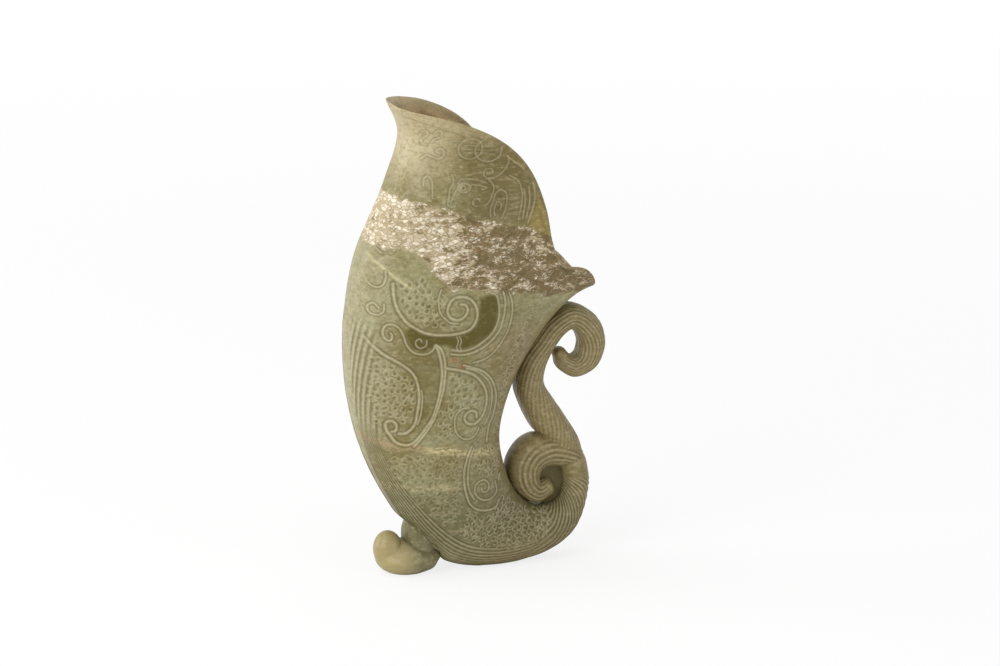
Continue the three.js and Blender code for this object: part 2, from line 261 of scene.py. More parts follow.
# The engraving on the horn's sides, in millimetres of x and z
LINES = [
    # by the rim: three scrolls, two overlapping rings, a curl on a stem
    [(-28, 176), (-26, 177.7), (-24.7, 177), (-22.4, 176.2), (-20.5, 177.2), (-20, 179.2), (-21.2, 180.4),
     (-22.6, 179.9), (-22.6, 178.7), (-21.6, 178.4)],
    [(-28.5, 185.7), (-28, 187.4), (-26.8, 187.8), (-26.2, 186.4), (-27, 185), (-28, 183.6),
     (-27.5, 182.2), (-26.2, 181.8)],
    [(-24, 187), (-23.2, 188.2), (-21.9, 187.9), (-21.4, 186.1), (-22.4, 185.2), (-23.7, 184.4),
     (-24.5, 183)],
    hoop(-10.5, 180.6, 4.5),
    hoop(-3.7, 180, 5),
    [(3.9, 177.6), (4.2, 174.6), (3.2, 171.6), (1.2, 169), (-1.6, 167.8), (-4, 168.2), (-4.8, 170),
     (-3.8, 171.8), (-1.9, 171.9), (-1.2, 170.3), (-2.4, 169.6)],
    # the tongue, the nose and brow, the eye, the cheek
    [(-28.2, 165.6), (-27.8, 168.2), (-26.4, 169.2), (-25.2, 167.9), (-25, 164.8), (-25.2, 160.4)],
    [(-17.4, 169.8), (-16.9, 167), (-18.6, 163.6), (-18.9, 160.8), (-19.6, 158)],
    [(-18.4, 158.4), (-16.9, 161.6), (-15.4, 164.4), (-14.6, 167.2), (-13.4, 167.9), (-10, 167.8),
     (-7.2, 167.2), (-5, 166.6), (-3.6, 165.8)],
    [(-9.8, 165.6), (-7.4, 165.2), (-5, 164.6), (-3.6, 164)],
    [(-15.2, 164), (-14.2, 165.7), (-12.6, 166.3), (-11, 165.5), (-10.1, 164.4), (-11.4, 162.9),
     (-13.1, 162.3), (-14.4, 162.8), (-15.2, 164)],
    hoop(-13.2, 164.2, 1),
    [(-19.4, 157.6), (-18, 156.8), (-16.6, 157.1)],
    [(-3, 167.6), (-1, 165.2), (-0.8, 162.4), (-2, 159.2), (-3.8, 157)],
    [(-6.4, 158.2), (-7, 159.5), (-8.4, 159.7), (-9.5, 158.5), (-9, 157), (-7.6, 156.7)],
    # the ear and the fan behind it
    [(-2.2, 152.2), (-2.2, 155.5), (-0.8, 158.7), (0.2, 161.5), (2.6, 162.8), (4.5, 161), (4.7, 157.7),
     (4, 154.4), (2.4, 150.8)],
    [(-0.4, 152.4), (-0.8, 154.8), (0.2, 157.2), (1.5, 157.9), (2.4, 156.4), (1.8, 154.6)],
    [(5.2, 169), (8.8, 166.4), (10.3, 162.6), (10.8, 158), (10.4, 153.4), (9.6, 149.8)],
    [(11.2, 163), (12.1, 157), (11.5, 149.8)],
    [(12.8, 164), (13.7, 158), (13, 150)],
    [(3.5, 177.4), (9, 172.9), (12.8, 168.9), (14.6, 164.4), (15.4, 158.4), (14.8, 152.6), (13.6, 147.6)],
    # rings on the back
    [(-45, 138), (-46.5, 139.7), (-49, 139.3), (-50.2, 137.3)],
    [(-44.2, 131), (-44.5, 128), (-45.6, 125.6), (-47.5, 124.6), (-49.5, 125.3), (-51, 128), (-51, 131)],
    [(-47.3, 116.2), (-49, 118.2), (-51, 116.9), (-50.5, 114.2), (-48, 113.4), (-45.8, 114.9),
     (-45.5, 117.9)],
    # the great crescent and the spiral that it ends in
    [(-42, 126.3), (-42, 122.2), (-41.3, 117.6), (-39.6, 113.6), (-37, 110.2), (-34.1, 108),
     (-30.1, 105.9), (-26.2, 104.9), (-20.6, 104.5), (-15.6, 104.8), (-11.4, 105.9), (-8.8, 109.1),
     (-8.1, 112.4), (-9.2, 116.1), (-11.7, 118.9), (-15, 119.9), (-18.1, 119.5), (-20.3, 117.1),
     (-21, 114.4), (-20, 111.9), (-17.8, 110.6), (-15.2, 110.6), (-13, 112.4), (-12.4, 114.6),
     (-13.4, 116.4), (-15.4, 116.8)],
    [(-23.3, 123.4), (-24.3, 120.8), (-24.6, 118.1), (-23.9, 113.8), (-22, 111.3), (-19.6, 109.4),
     (-16.4, 108.9)],
    # the smooth crescent under it, with two hoops on its edge
    [(-2.2, 120.2), (0.1, 119.1), (1.2, 116.2), (1.7, 113), (1.5, 109), (0.2, 105.3), (-2.2, 102.2),
     (-5.6, 99.8), (-9.9, 97.8), (-15, 97.2), (-19, 98)],
    [(3.2, 120.3), (4.2, 116.7), (4.2, 112.5), (3.6, 108.5), (2.4, 104.5), (-0.4, 100.9), (-4.2, 98.1),
     (-9, 96.1), (-14.5, 95.5), (-19.4, 96.3)],
    [(6, 119.5), (7.4, 115.7), (7.8, 111.5), (7.3, 107.1), (5.8, 102.5), (3, 98.1), (-0.6, 94.3),
     (-5, 92.2), (-9.5, 91.6)],
    [(-17, 103.3), (-16.3, 101.3), (-17, 99.1), (-16.4, 97.5)],
    [(-15.8, 103.4), (-15, 101.3), (-15.6, 99.3), (-15, 97.7)],
    # the curl and its long stem, the small curl, the rib that runs down to the foot of the wing
    [(-43.4, 106), (-42.9, 104.8), (-43.6, 103.1), (-45.2, 103.4), (-46.3, 105.6), (-46, 108),
     (-44.8, 109.4), (-43, 109.7), (-41.1, 108.9), (-39.4, 106.8), (-38.4, 104), (-37.4, 101.1),
     (-35.4, 98.4), (-32.8, 97.2), (-29.6, 97.1), (-27.2, 98.4), (-26.2, 100.6)],
    [(-29.6, 102.8), (-29.6, 101), (-30.9, 99.9), (-32.8, 99.9), (-34, 101.4), (-33.6, 103),
     (-32.2, 103.5), (-31.5, 102.2)],
    [(-26, 100.6), (-24.6, 97.2), (-23.7, 93.6), (-23.1, 89.2), (-23.4, 85), (-24, 80), (-24.9, 76.2),
     (-26.1, 72), (-27.7, 68.4), (-29.8, 65.5), (-32, 62.2), (-34.6, 59.4), (-37.4, 58.6), (-40.8, 59.8),
     (-43.3, 63), (-44.8, 66), (-44.6, 68.6), (-42.6, 69), (-41, 67.2), (-41.4, 64.8), (-42.6, 64.4)],
    [(-25.6, 100.8), (-23.6, 98.6), (-22.3, 95.1), (-21.8, 90.7), (-21.9, 86.4), (-22.5, 81.4),
     (-23.5, 77.4), (-24.8, 73), (-26.4, 69), (-28.4, 65.6), (-31, 61.8), (-34, 58)],
    # the wing
    [(-54.6, 110.7), (-53.3, 105.4), (-51.3, 102.5), (-49, 99.7), (-46.1, 97.2), (-42.6, 95), (-39, 92.7),
     (-36.2, 90.4), (-34.1, 87.4), (-33, 83.7), (-32.5, 80), (-32.6, 76.4), (-33.2, 72.6), (-33.8, 68.4),
     (-35.4, 65.5), (-37.5, 63.8), (-39.9, 63.6)],
    [(-31.5, 81.8), (-31.2, 79), (-31.3, 75.4), (-31.8, 71.2), (-33, 67.5)],
    # the breast panel, its three hoops and the ring under it
    [(-21.2, 90.4), (-19, 89.9), (-14.5, 88.7), (-9.9, 86.7), (-6.2, 83.6), (-3.2, 78.9), (-2.3, 74.3),
     (-3, 70.3), (-4.8, 67.1), (-8, 65.1), (-10.9, 65.6), (-12.7, 67.6), (-12.2, 69.8), (-9.8, 70.9),
     (-7.4, 69.8), (-7.2, 67.8)],
    [(-12.4, 89.6), (-8, 87.9), (-4.2, 85), (-1.2, 81.4), (0.2, 77.4), (0.3, 72.7), (-0.5, 67.7),
     (-3, 63.7)],
    [(-13.9, 91), (-9.1, 89.2), (-4.6, 87), (-1, 83.6), (1.2, 79.7), (2.6, 75.2), (2.5, 70.8), (1.3, 66.1),
     (-0.5, 62.8), (-1.5, 56.2)],
    [(-10.7, 72.3), (-14, 72.3), (-16.6, 70.2), (-17.3, 66.7), (-16.6, 63), (-14, 59.9), (-10.2, 59),
     (-7.3, 60.4), (-5.8, 63)],
    # the stem and spiral on the belly
    [(-9.2, 55.6), (-11.2, 50.6), (-12.4, 45), (-12.1, 39.4), (-11, 35), (-8.8, 30.2), (-5.2, 27.6),
     (-0.6, 26.8), (3.2, 27.6), (4.8, 30.4)],
    [(-7.9, 54.6), (-9.8, 49.8), (-10.6, 44.8), (-10.4, 39.8), (-9.4, 36), (-7.4, 32.4)],
    [(3, 38.4), (3.7, 34.3), (0.6, 31.4), (-4.2, 32), (-7.1, 35.6), (-6.5, 39), (-2.8, 40.1), (-0.4, 37.8),
     (-0.9, 35.2), (-3.3, 35.1), (-4, 36.8)],
]
# Short strokes across the rings, the fan, the spiral's side and the smooth crescent's edge
HATCHES = [
    [(-12.9, 182), (-7.6, 182)], [(-13.5, 180.4), (-7, 180.4)], [(-12.9, 178.8), (-7.6, 178.8)],
    [(-6.4, 181.8), (-1.2, 181.8)], [(-7, 180), (-0.4, 180)], [(-6.4, 178.2), (-1.2, 178.2)],
    [(5.8, 160.4), (9.8, 161)], [(6, 158.4), (10.2, 159)], [(6, 156.4), (10.2, 157)],
    [(5.6, 154.4), (10, 155)],
    [(5, 152.4), (9.8, 153)],
    [(-24, 120), (-21.6, 117.4)], [(-24.3, 118.2), (-22, 115.8)], [(-23, 121.6), (-21, 119.4)],
    [(-23.8, 116), (-21.2, 118.6)], [(-24.2, 117.6), (-21.4, 120.4)],
    [(1.9, 114.7), (4, 114.5)], [(1.8, 113.9), (3.9, 113.7)], [(2, 106.9), (3.8, 106.1)],
    [(1.6, 106.1), (3.4, 105.3)],
]
PITS = [(-13.3, 158.3), (1.7, 160.4), (0.8, 155.4), (-13.2, 164.2)]

# Fields of comma scrolls: the outline of each, how far apart the scrolls are and how big
FIELDS = [
    # the great crescent, the wing, the breast panel and the corner under it
    ([(-40.4, 125.6), (-40, 119), (-36.4, 112.8), (-30, 108.4), (-21, 106.6), (-14, 106.8), (-10.4, 110),
      (-18, 108), (-24, 109.8), (-26.2, 115), (-26, 124), (-31, 129)], 3.1, 1.3),
    ([(-52, 99), (-47.5, 95.6), (-41, 91.4), (-36.6, 87.6), (-34.6, 83), (-34.2, 77), (-35.4, 69.4),
      (-38, 66.6), (-40.4, 70), (-44.5, 71), (-46.8, 67), (-49.5, 68), (-51, 78), (-52, 88)], 2.9, 1.2),
    ([(-20.4, 88.4), (-15.5, 86.6), (-10.6, 84.2), (-7, 80.6), (-4.4, 75.6), (-4.6, 71), (-7, 72.6),
      (-13.6, 74.4), (-18, 72.6), (-20.6, 76), (-20, 82)], 3.5, 1.5),
    ([(-24.6, 72), (-21.4, 75), (-18.6, 71), (-19, 65), (-17, 60), (-25, 62)], 2.8, 1.1),
    # the belly: beside the keel, under the stem, round the spiral
    ([(-44, 53), (-40, 44), (-34, 35.5), (-27, 28.4), (-20, 22.6), (-13, 20.6), (-12.4, 28), (-14, 38),
      (-13.8, 46), (-11.6, 52.4)], 3, 1.2),
    ([(-13, 19), (-5, 12.4), (4, 8.4), (13, 6.8), (21, 8.6), (27.4, 12.6), (30.6, 17.5), (29, 21),
      (21, 23), (15, 25.4), (11, 29.6), (7.2, 33), (5.4, 28.4), (1, 25.4), (-5, 25.6),
      (-10, 28)], 2.75, 1.15),
    ([(5.2, 41), (6.4, 35), (7.6, 34), (7.6, 42), (6.6, 53), (0, 54), (-6, 54), (-8, 48), (-8.6, 43),
      (-3, 42)], 3, 1.15),
    # along the breast
    ([(4.6, 78), (6, 86), (9, 94), (12, 101), (15.5, 107), (18.5, 108), (16.5, 100), (12, 90), (9.6, 80),
      (7.6, 70), (6, 58), (2, 57), (4, 66), (4.8, 72)], 2.7, 1),
]
# The healed crack across the back
CRACK = [(-48.7, 136.3), (-45.2, 132.6), (-42.5, 130.2), (-39.5, 127.4), (-35.3, 124.5)]
CRACK_WIDTH = 1.1
# How wide lines are, how much wider the longest get and between which lengths, and how wide fine lines are
LINE_WIDTH = 0.6
LONG_LINE = 0.3
LONG_SPAN = (25, 60)
HATCH_WIDTH = 0.5
# How far lines stand out, how deep pits are, and the radius of a pit that stands alone
THREAD = 0.26
PIT = 0.42
PIT_RADIUS = 0.6
# How scrolls fill a field: the spacing of rows and how far each scroll is moved, as shares of the pitch
ROW_SHARE = 0.88
WOBBLE = 0.16

# The engraving drawn as charts: how far each place is from the nearest line, in half widths of that line
CELL = 0.1
CHART_LOW = (-60.0, 0.0)
CHART_SIZE = (1000, 2000)
FAR = 9.0
PATH_STEP = 0.5
LINE_MARGIN = 1.6
line_chart = np.full(CHART_SIZE[::-1], FAR, np.float32)
fine_chart = line_chart.copy()
crack_chart = line_chart.copy()
pit_chart = np.zeros(CHART_SIZE[::-1], np.float32)


def window(low, high, margin):
    """The part of the chart round a box, and the places of its cells."""
    cut = []
    for axis in (0, 1):
        first = int((low[axis] - margin - CHART_LOW[axis]) / CELL)
        last = int((high[axis] + margin - CHART_LOW[axis]) / CELL) + 2
        cut.append(slice(max(first, 0), min(last, CHART_SIZE[axis])))
    x = CHART_LOW[0] + CELL * np.arange(cut[0].start, cut[0].stop)
    z = CHART_LOW[1] + CELL * np.arange(cut[1].start, cut[1].stop)
    return (cut[1], cut[0]), x[None, :], z[:, None]


def length_of(points):
    return np.linalg.norm(np.diff(points, axis=0), axis=1).sum()


def away(x, z, a, b):
    """How far places are from the straight line between two points."""
    along = b - a
    share = np.clip(((x - a[0]) * along[0] + (z - a[1]) * along[1]) / (along @ along + 1e-9), 0, 1)
    return np.hypot(x - a[0] - share * along[0], z - a[1] - share * along[1])


def draw(points, width, chart):
    """Draws a smooth line through points on a chart."""
    points = np.asarray(points, float)
    steps = max(2, int(length_of(points) / PATH_STEP))
    path = spline(points, np.linspace(0, len(points) - 1, steps))
    for a, b in zip(path[:-1], path[1:]):
        cells, x, z = window(np.minimum(a, b), np.maximum(a, b), LINE_MARGIN * width)
        chart[cells] = np.minimum(chart[cells], away(x, z, a, b) / (width / 2))


def sink(x, z, radius):
    """Puts a round pit on the chart of pits."""
    cells, cx, cz = window((x, z), (x, z), 3 * radius)
    pit_chart[cells] = np.maximum(pit_chart[cells], np.exp(-((cx - x) ** 2 + (cz - z) ** 2) / radius**2))


def comma(x, z, radius, turn, way):
    """A small scroll: most of a turn round a pit that lies towards its opening."""
    t = np.linspace(0, 1, 12)
    angle = turn + way * t * 1.4 * np.pi
    r = radius * (1 - 0.3 * t)
    draw(np.stack([x + r * np.cos(angle), z + r * np.sin(angle)], 1), HATCH_WIDTH, fine_chart)
    gap = turn - way * 0.3 * np.pi
    sink(x + 0.3 * radius * math.cos(gap), z + 0.3 * radius * math.sin(gap), 0.52 * radius)


def within(outline, x, z):
    """Whether places lie inside an outline."""
    inside = False
    for (ax, az), (bx, bz) in zip(outline, np.roll(outline, -1, axis=0)):
        crosses = (az > z) != (bz > z)
        inside = inside ^ (crosses & (x < ax + (z - az) * (bx - ax) / (bz - az + 1e-9)))
    return inside


def scatter(outline, pitch, radius):
    """Fills an outline with comma scrolls, row by row, none of them quite like the next."""
    (x0, z0), (x1, z1) = np.min(outline, axis=0), np.max(outline, axis=0)
    rise = ROW_SHARE * pitch
    for row in range(int((z1 - z0) / rise) + 1):
        for number in range(int((x1 - x0) / pitch) + 1):
            x = x0 + pitch * (number + 0.5 * (row % 2)) + WOBBLE * pitch * math.sin(7.3 * number + 3.1 * row)
            z = z0 + rise * row + WOBBLE * pitch * math.sin(4.7 * number + 5.9 * row)
            if within(outline, x, z):
                comma(x, z, radius, 1.9 * number + 2.3 * row, 1 if (number + row) % 3 else -1)


for line in LINES:
    draw(line, LINE_WIDTH + LONG_LINE * smoothstep(*LONG_SPAN, length_of(line)), line_chart)
for line in HATCHES:
    draw(line, HATCH_WIDTH, fine_chart)
draw(CRACK, CRACK_WIDTH, crack_chart)
crack_chart = np.exp(-crack_chart**2)
for x, z in PITS:
    sink(x, z, PIT_RADIUS)
for field in FIELDS:
    scatter(*field)


def fill(outline, soft):
    """A chart of one area: 1 inside its outline, fading out across its edge."""
    corners = spline(outline + outline[:1], np.linspace(0, len(outline), 6 * len(outline) + 1))
    cells, x, z = window(corners.min(axis=0), corners.max(axis=0), soft)
    edge = np.inf
    for a, b in zip(corners[:-1], corners[1:]):
        edge = np.minimum(edge, away(x, z, a, b))
    chart = np.zeros(CHART_SIZE[::-1], np.float32)
    chart[cells] = smoothstep(-soft, soft, np.where(within(corners[:-1], x, z), edge, -edge))
    return chart


# Areas of the stone with a tint of their own, and how strong it is
POLISHED = [
    # the crescent under the spiral, and the band along the wing
    (1.0, [(-7, 118.6), (-2.4, 119.4), (0.4, 117.6), (1, 111), (-0.6, 105), (-6.3, 100.2), (-15, 98),
           (-24, 100.4), (-30.5, 98.2), (-34, 99), (-37.7, 106.4), (-35, 108), (-31.5, 105.6),
           (-22.2, 103.8), (-14, 104), (-8.2, 107.6), (-7.2, 113)]),
    (0.4, [(-38, 94.4), (-33, 96), (-26, 99), (-24.4, 93), (-24.2, 84), (-26, 77), (-30.4, 69.6),
           (-32.6, 67.8), (-31.8, 76), (-32.3, 83.8), (-35.6, 90.8)]),
]
# The smooth golden corner by the rim, and the traces of red with their radii
GOLD = [
    (3.5, 178.4), (9, 174), (13, 170), (15.8, 162.4), (16, 154), (14.4, 147.6), (32, 138), (32, 160),
    (20, 174), (2, 190),
]
OCHRE = [(-18.7, 93.6, 1.8), (-14.2, 90.5, 1.8)]
POLISH_EDGE = 0.8
GOLD_EDGE = 2.0

smooth_chart = np.maximum.reduce([weight * fill(outline, POLISH_EDGE) for weight, outline in POLISHED])
gold_chart = fill(GOLD, GOLD_EDGE)


def chart_at(chart, x, z):
    """The chart read between its cells."""
    i = np.clip((x - CHART_LOW[0]) / CELL, 0, CHART_SIZE[0] - 1.001)
    j = np.clip((z - CHART_LOW[1]) / CELL, 0, CHART_SIZE[1] - 1.001)
    i0, j0 = i.astype(int), j.astype(int)
    u, v = i - i0, j - j0
    low = chart[j0, i0] * (1 - u) + chart[j0, i0 + 1] * u
    high = chart[j0 + 1, i0] * (1 - u) + chart[j0 + 1, i0 + 1] * u
    return low * (1 - v) + high * v


# The combed keel: its far edge in degrees at places along the horn, where it starts, and its grooves
KEEL_PLACES = [4.4, 5, 5.5, 6, 7, 8, 9]
KEEL_EDGE = [24, 30, 36, 46, 70, 92, 120]
KEEL_START = 7
KEEL_GROOVES = 10
# How deep grooves are, where they fade in and out along the horn, and where they do round it, in degrees
GROOVE = 0.36
KEEL_SPAN = (4.6, 5.2, 7.7, 8.4)
ROPE_SPAN = (7.7, 8.4, 10.1, 10.7)
STRAND_SPAN = (11.4, 12.2, 24, 25)
FEATHER_SPAN = (3.5, 3.8, 4.9, 5.2)
ROUND_SPAN = (0, 10, 170, 180)
FEATHER_TURN = (6, 10, 34, 40)
# How deep the strand's grooves are at places along it, as shares
STRAND_PLACES = [11, 14, 16, 18]
STRAND_DEPTH = [0.55, 0.5, 0.65, 0.75]
# How far the lines of the strand have turned round it at places along it, and their pitch, in degrees
TWIST_PLACES = [10.6, 11.2, 13, 15, 17, 20, 25]
TWIST = [250, 240, 130, 60, 30, 20, 80]
TWIST_PITCH = 16
# The rope lines on the trunk: how far apart they are in degrees, and how many of them have gone round by then
ROPE_PLACES = [7.5, 8, 8.5, 9, 9.5, 10, 10.6, 11.2]
ROPE_PITCH = [14, 15, 17, 21, 25, 27, 27, 27]
ROPE_TURNS = [0, 0.5, 1.5, 3.2, 5.6, 8.4, 11, 13]
# The line under the plain lip: the place where it runs, and its width along the horn
LIP_LINE = 0.3
LIP_LINE_WIDTH = 0.03
# The engraving is on the sides: how far a skin faces sideways for it, and where along the horn it ends
SIDE_FACING = (0.1, 0.32)
SIDE_END = (8.3, 8.8)
# It is partly rubbed away low on the back's side, and fainter on the neck
RUBBED_X = (-8, -16)
RUBBED_Z = (56, 50)
FAINT_Z = (138, 146)


def folded(angle):
    return np.degrees(np.where(angle > np.pi, 2 * np.pi - angle, angle))


def waves(turn, pitch):
    return 0.5 - 0.5 * np.cos(2 * np.pi * turn / pitch)


def worn(place, turn):
    """How much of a groove is left at a place, as wear is uneven."""
    return 0.75 + 0.25 * np.sin(3.1 * place + 0.09 * turn) * np.sin(1.7 * place - 0.05 * turn)


def horn_grooves(place, angle):
    """How deep a groove is at a place of the horn, from 0 to 1, and how much of a ridge is beside it."""
    turn = folded(angle)
    edge = np.interp(place, KEEL_PLACES, KEEL_EDGE)
    share = (turn - KEEL_START) / (edge - KEEL_START)
    keel = between((0, 0.05, 0.95, 1), share) * between(KEEL_SPAN, place)
    rounded = between(ROUND_SPAN, turn) * worn(place, turn)
    rope = rounded * between(ROPE_SPAN, place)
    strand = rounded * between(STRAND_SPAN, place) * np.interp(place, STRAND_PLACES, STRAND_DEPTH)
    feather = between(FEATHER_SPAN, place) * between(FEATHER_TURN, turn)
    twisted = turn - np.interp(place, TWIST_PLACES, TWIST)
    roped = turn / np.interp(place, ROPE_PLACES, ROPE_PITCH) - np.interp(place, ROPE_PLACES, ROPE_TURNS)
    parts = [
        (keel, waves(share, 1 / KEEL_GROOVES)), (1.2 * rope, waves(roped, 1)),
        (strand, waves(twisted, TWIST_PITCH)), (0.8 * feather, waves(turn + 17 * (place - 4), 6.5)),
    ]
    band = np.exp(-(((place - LIP_LINE) / LIP_LINE_WIDTH) ** 2))
    groove = np.maximum.reduce([mask * wave**1.4 for mask, wave in parts] + [0.35 * band])
    ridge = np.maximum.reduce([mask * (1 - wave) ** 2 for mask, wave in parts])
    return groove, ridge


def horn_relief(place, angle):
    """How far the carving stands off the horn's skin, and how much of a line or a hollow is there."""
    spot, out = horn.point(place, angle), horn.normal(place, angle)
    x, z = spot[..., 0], spot[..., 2]
    front = 0.36 * smoothstep(0, 0.5, out[..., 0])
    side = smoothstep(SIDE_FACING[0] + front, SIDE_FACING[1] + front, np.abs(out[..., 1]))
    side = side * (1 - smoothstep(*SIDE_END, place))
    off, fine_off = chart_at(line_chart, x, z), chart_at(fine_chart, x, z)
    line = np.exp(-((off / 0.9) ** 2)) * side
    rubbed = 1 - 0.45 * smoothstep(*RUBBED_X, x) * smoothstep(*RUBBED_Z, z)
    fine = np.exp(-((fine_off / 0.9) ** 2)) * side * rubbed
    ditch = np.exp(-(((off - 2.1) / 0.8) ** 2)) * side
    pit = chart_at(pit_chart, x, z) * side * (1 - line) * rubbed
    groove, ridge = horn_grooves(place, angle)
    height = THREAD * (np.maximum(line, 0.8 * fine) - 0.45 * ditch) - PIT * pit - GROOVE * groove
    faint = 1 - 0.4 * smoothstep(*FAINT_Z, z)
    # Lines and the ridges beside grooves are paled, partly wear and partly painted highlight; the ditch beside
    # each line, the pits and the grooves are darkened, partly dirt and partly painted shade
    light = np.maximum.reduce([faint * line, 0.8 * fine * faint, 0.55 * ridge])
    return height, light, np.maximum.reduce([0.8 * faint * ditch, 0.78 * pit, 0.9 * groove])


def volute_relief(place, angle):
    """The same for the volute, which has grooves alone."""
    turn = folded(angle)
    first = np.interp(place, [1, 3, 4], [8, 24, 40])
    mask = 1 - smoothstep(volute.last - 0.6, volute.last, place)
    mask = mask * between((first, first + 22, 168, 180), turn) * worn(place, turn)
    wave = waves(turn - 4 * place, 17)
    # grooves darkened with dirt and painted shade, the ridges between them paled with wear and a painted
    # highlight
    return -GROOVE * mask * wave**1.4, 0.32 * mask * (1 - wave) ** 2, 0.9 * mask * wave**1.4


def stalk_relief(place, angle):
    """The same for the stalk, which is plain."""
    return np.zeros((3, len(place)))


def split_marked(faces, spots, marked):
    """Faces with the marked ones cut in four, and their neighbours cut so that no edge is left unmatched."""
    count = len(spots)
    ends = np.sort(faces[:, [[0, 1], [1, 2], [2, 0]]], axis=2).reshape(-1, 2).astype(np.int64)
    edges, number = np.unique(ends[:, 0] * count + ends[:, 1], return_inverse=True)
    number = number.reshape(-1, 3)
    cut = np.zeros(len(edges), bool)
    cut[number[marked].ravel()] = True
    while True:
        short = (cut[number[:, 1]] | cut[number[:, 2]]) & ~cut[number[:, 0]]
        if not short.any():
            break
        cut[number[short, 0]] = True
    middle = np.full(len(edges), -1, np.int64)
    middle[cut] = count + np.arange(cut.sum())
    a, b = edges[cut] // count, edges[cut] % count
    turn = (spots[b, 1] - spots[a, 1] + np.pi) % (2 * np.pi) - np.pi
    fresh = np.stack([(spots[a, 0] + spots[b, 0]) / 2, (spots[a, 1] + turn / 2) % (2 * np.pi)], 1)
    e1, e2, e3 = faces.T
    n1, n2, n3 = middle[number].T
    one = (n1 >= 0) & (n2 < 0) & (n3 < 0)
    left = (n1 >= 0) & (n2 >= 0) & (n3 < 0)
    right = (n1 >= 0) & (n2 < 0) & (n3 >= 0)
    both = (n1 >= 0) & (n2 >= 0) & (n3 >= 0)

    def pick(mask, *corners):
        return np.stack([c[mask] for c in corners], 1)

    parts = [
        faces[n1 < 0],
        pick(one, e3, e1, n1), pick(one, e2, e3, n1),
        pick(left, e3, e1, n1), pick(left, n1, e2, n2), pick(left, e3, n1, n2),
        pick(right, n1, e3, n3), pick(right, e1, n1, n3), pick(right, e2, e3, n1),
        pick(both, n1, e3, n3), pick(both, e1, n1, n3), pick(both, n1, e2, n2), pick(both, e3, n1, n2),
    ]
    return np.vstack(parts), np.vstack([spots, fresh])


def tube(places, angles):
    """Faces and spots of a plain tube: a spot is a place along it and an angle round it."""
    rows, columns = len(places), len(angles)
    spots = np.stack(np.meshgrid(places, angles, indexing="ij"), -1).reshape(-1, 2)
    i, j = np.meshgrid(np.arange(rows - 1), np.arange(columns), indexing="ij")
    a = (i * columns + j).ravel()
    b = (i * columns + (j + 1) % columns).ravel()
    c, d = b + columns, a + columns
    return np.vstack([np.stack([c, a, b], 1), np.stack([a, c, d], 1)]), spots


def even_places(limb, start, end, row):
    """Places from start to end, about a row apart along the limb's side."""
    t = np.linspace(start, end, 400)
    p = limb.point(t, np.full_like(t, np.pi / 2))
    q = limb.point(t, np.zeros_like(t))
    step = np.maximum(np.linalg.norm(np.diff(p, axis=0), axis=1), np.linalg.norm(np.diff(q, axis=0), axis=1))
    far = np.concatenate([[0], np.cumsum(step)])
    return np.interp(np.linspace(0, far[-1], max(3, int(round(far[-1] / row)) + 1)), far, t)


# The charts made coarse: whether a line passes near a block of cells or one beside it
BLOCK = 20
NEAR_LINE = 3


def busy_blocks():
    columns, rows = (size // BLOCK for size in CHART_SIZE)
    blocks = np.minimum(line_chart, fine_chart).reshape(rows, BLOCK, columns, BLOCK)
    busy = blocks.min(axis=(1, 3)) < NEAR_LINE
    busy[1:] |= busy[:-1]
    busy[:, 1:] |= busy[:, :-1]
    busy[:-1] |= busy[1:]
    busy[:, :-1] |= busy[:, 1:]
    return busy


coarse = busy_blocks()


def chart_near(points):
    """Whether points are near any engraving."""
    i = np.clip(((points[:, 0] - CHART_LOW[0]) / CELL / BLOCK).astype(int), 0, coarse.shape[1] - 1)
    j = np.clip(((points[:, 2] - CHART_LOW[1]) / CELL / BLOCK).astype(int), 0, coarse.shape[0] - 1)
    return coarse[j, i]


def carved(limb, relief, start, end, row, levels, angles):
    """The carved skin of a limb between two places, divided finely where the carving is."""
    faces, spots = tube(even_places(limb, start, end, row), angles)
    for level in range(levels):
        heights, lines, hollows = relief(*spots.T)
        step = np.abs(heights[faces] - heights[np.roll(faces, 1, axis=1)]).max(axis=1)
        marked = (step > SPLIT_STEPS[level]) | (np.maximum(lines, hollows)[faces].max(axis=1) > SPLIT_MARK)
        if level == 0 and limb is horn:
            marked |= chart_near(limb.point(*spots.T)[faces].mean(axis=1))
        edge = np.isin(spots[:, 0], [start, end])
        marked |= edge[faces].sum(axis=1) >= 2
        faces, spots = split_marked(faces, spots, marked)
    heights, lines, hollows = relief(*spots.T)
    points = limb.point(*spots.T) + limb.normal(*spots.T) * heights[:, None]
    return faces, spots, points, lines, hollows


def ring_of(spots, place):
    """The points on a tube's end, in order round it."""
    found = np.flatnonzero(spots[:, 0] == place)
    return found[np.argsort(spots[found, 1])]


def zipped(first, second):
    """Faces between two rings, of which the first may have several points to each of the second's."""
    many = len(first) // len(second)
    k = np.arange(len(first))
    a, b = first, np.roll(first, -1)
    c, d = second[k // many], np.roll(second, -1)[k // many]
    step = k % many == many - 1
    return np.vstack([np.stack([a, b, c], 1), np.stack([b, d, c], 1)[step]])


def fan(ring, hub):
    """Faces from each two neighbours of a ring to a hub."""
    return np.stack([ring, np.roll(ring, -1), np.full(len(ring), hub)], 1)


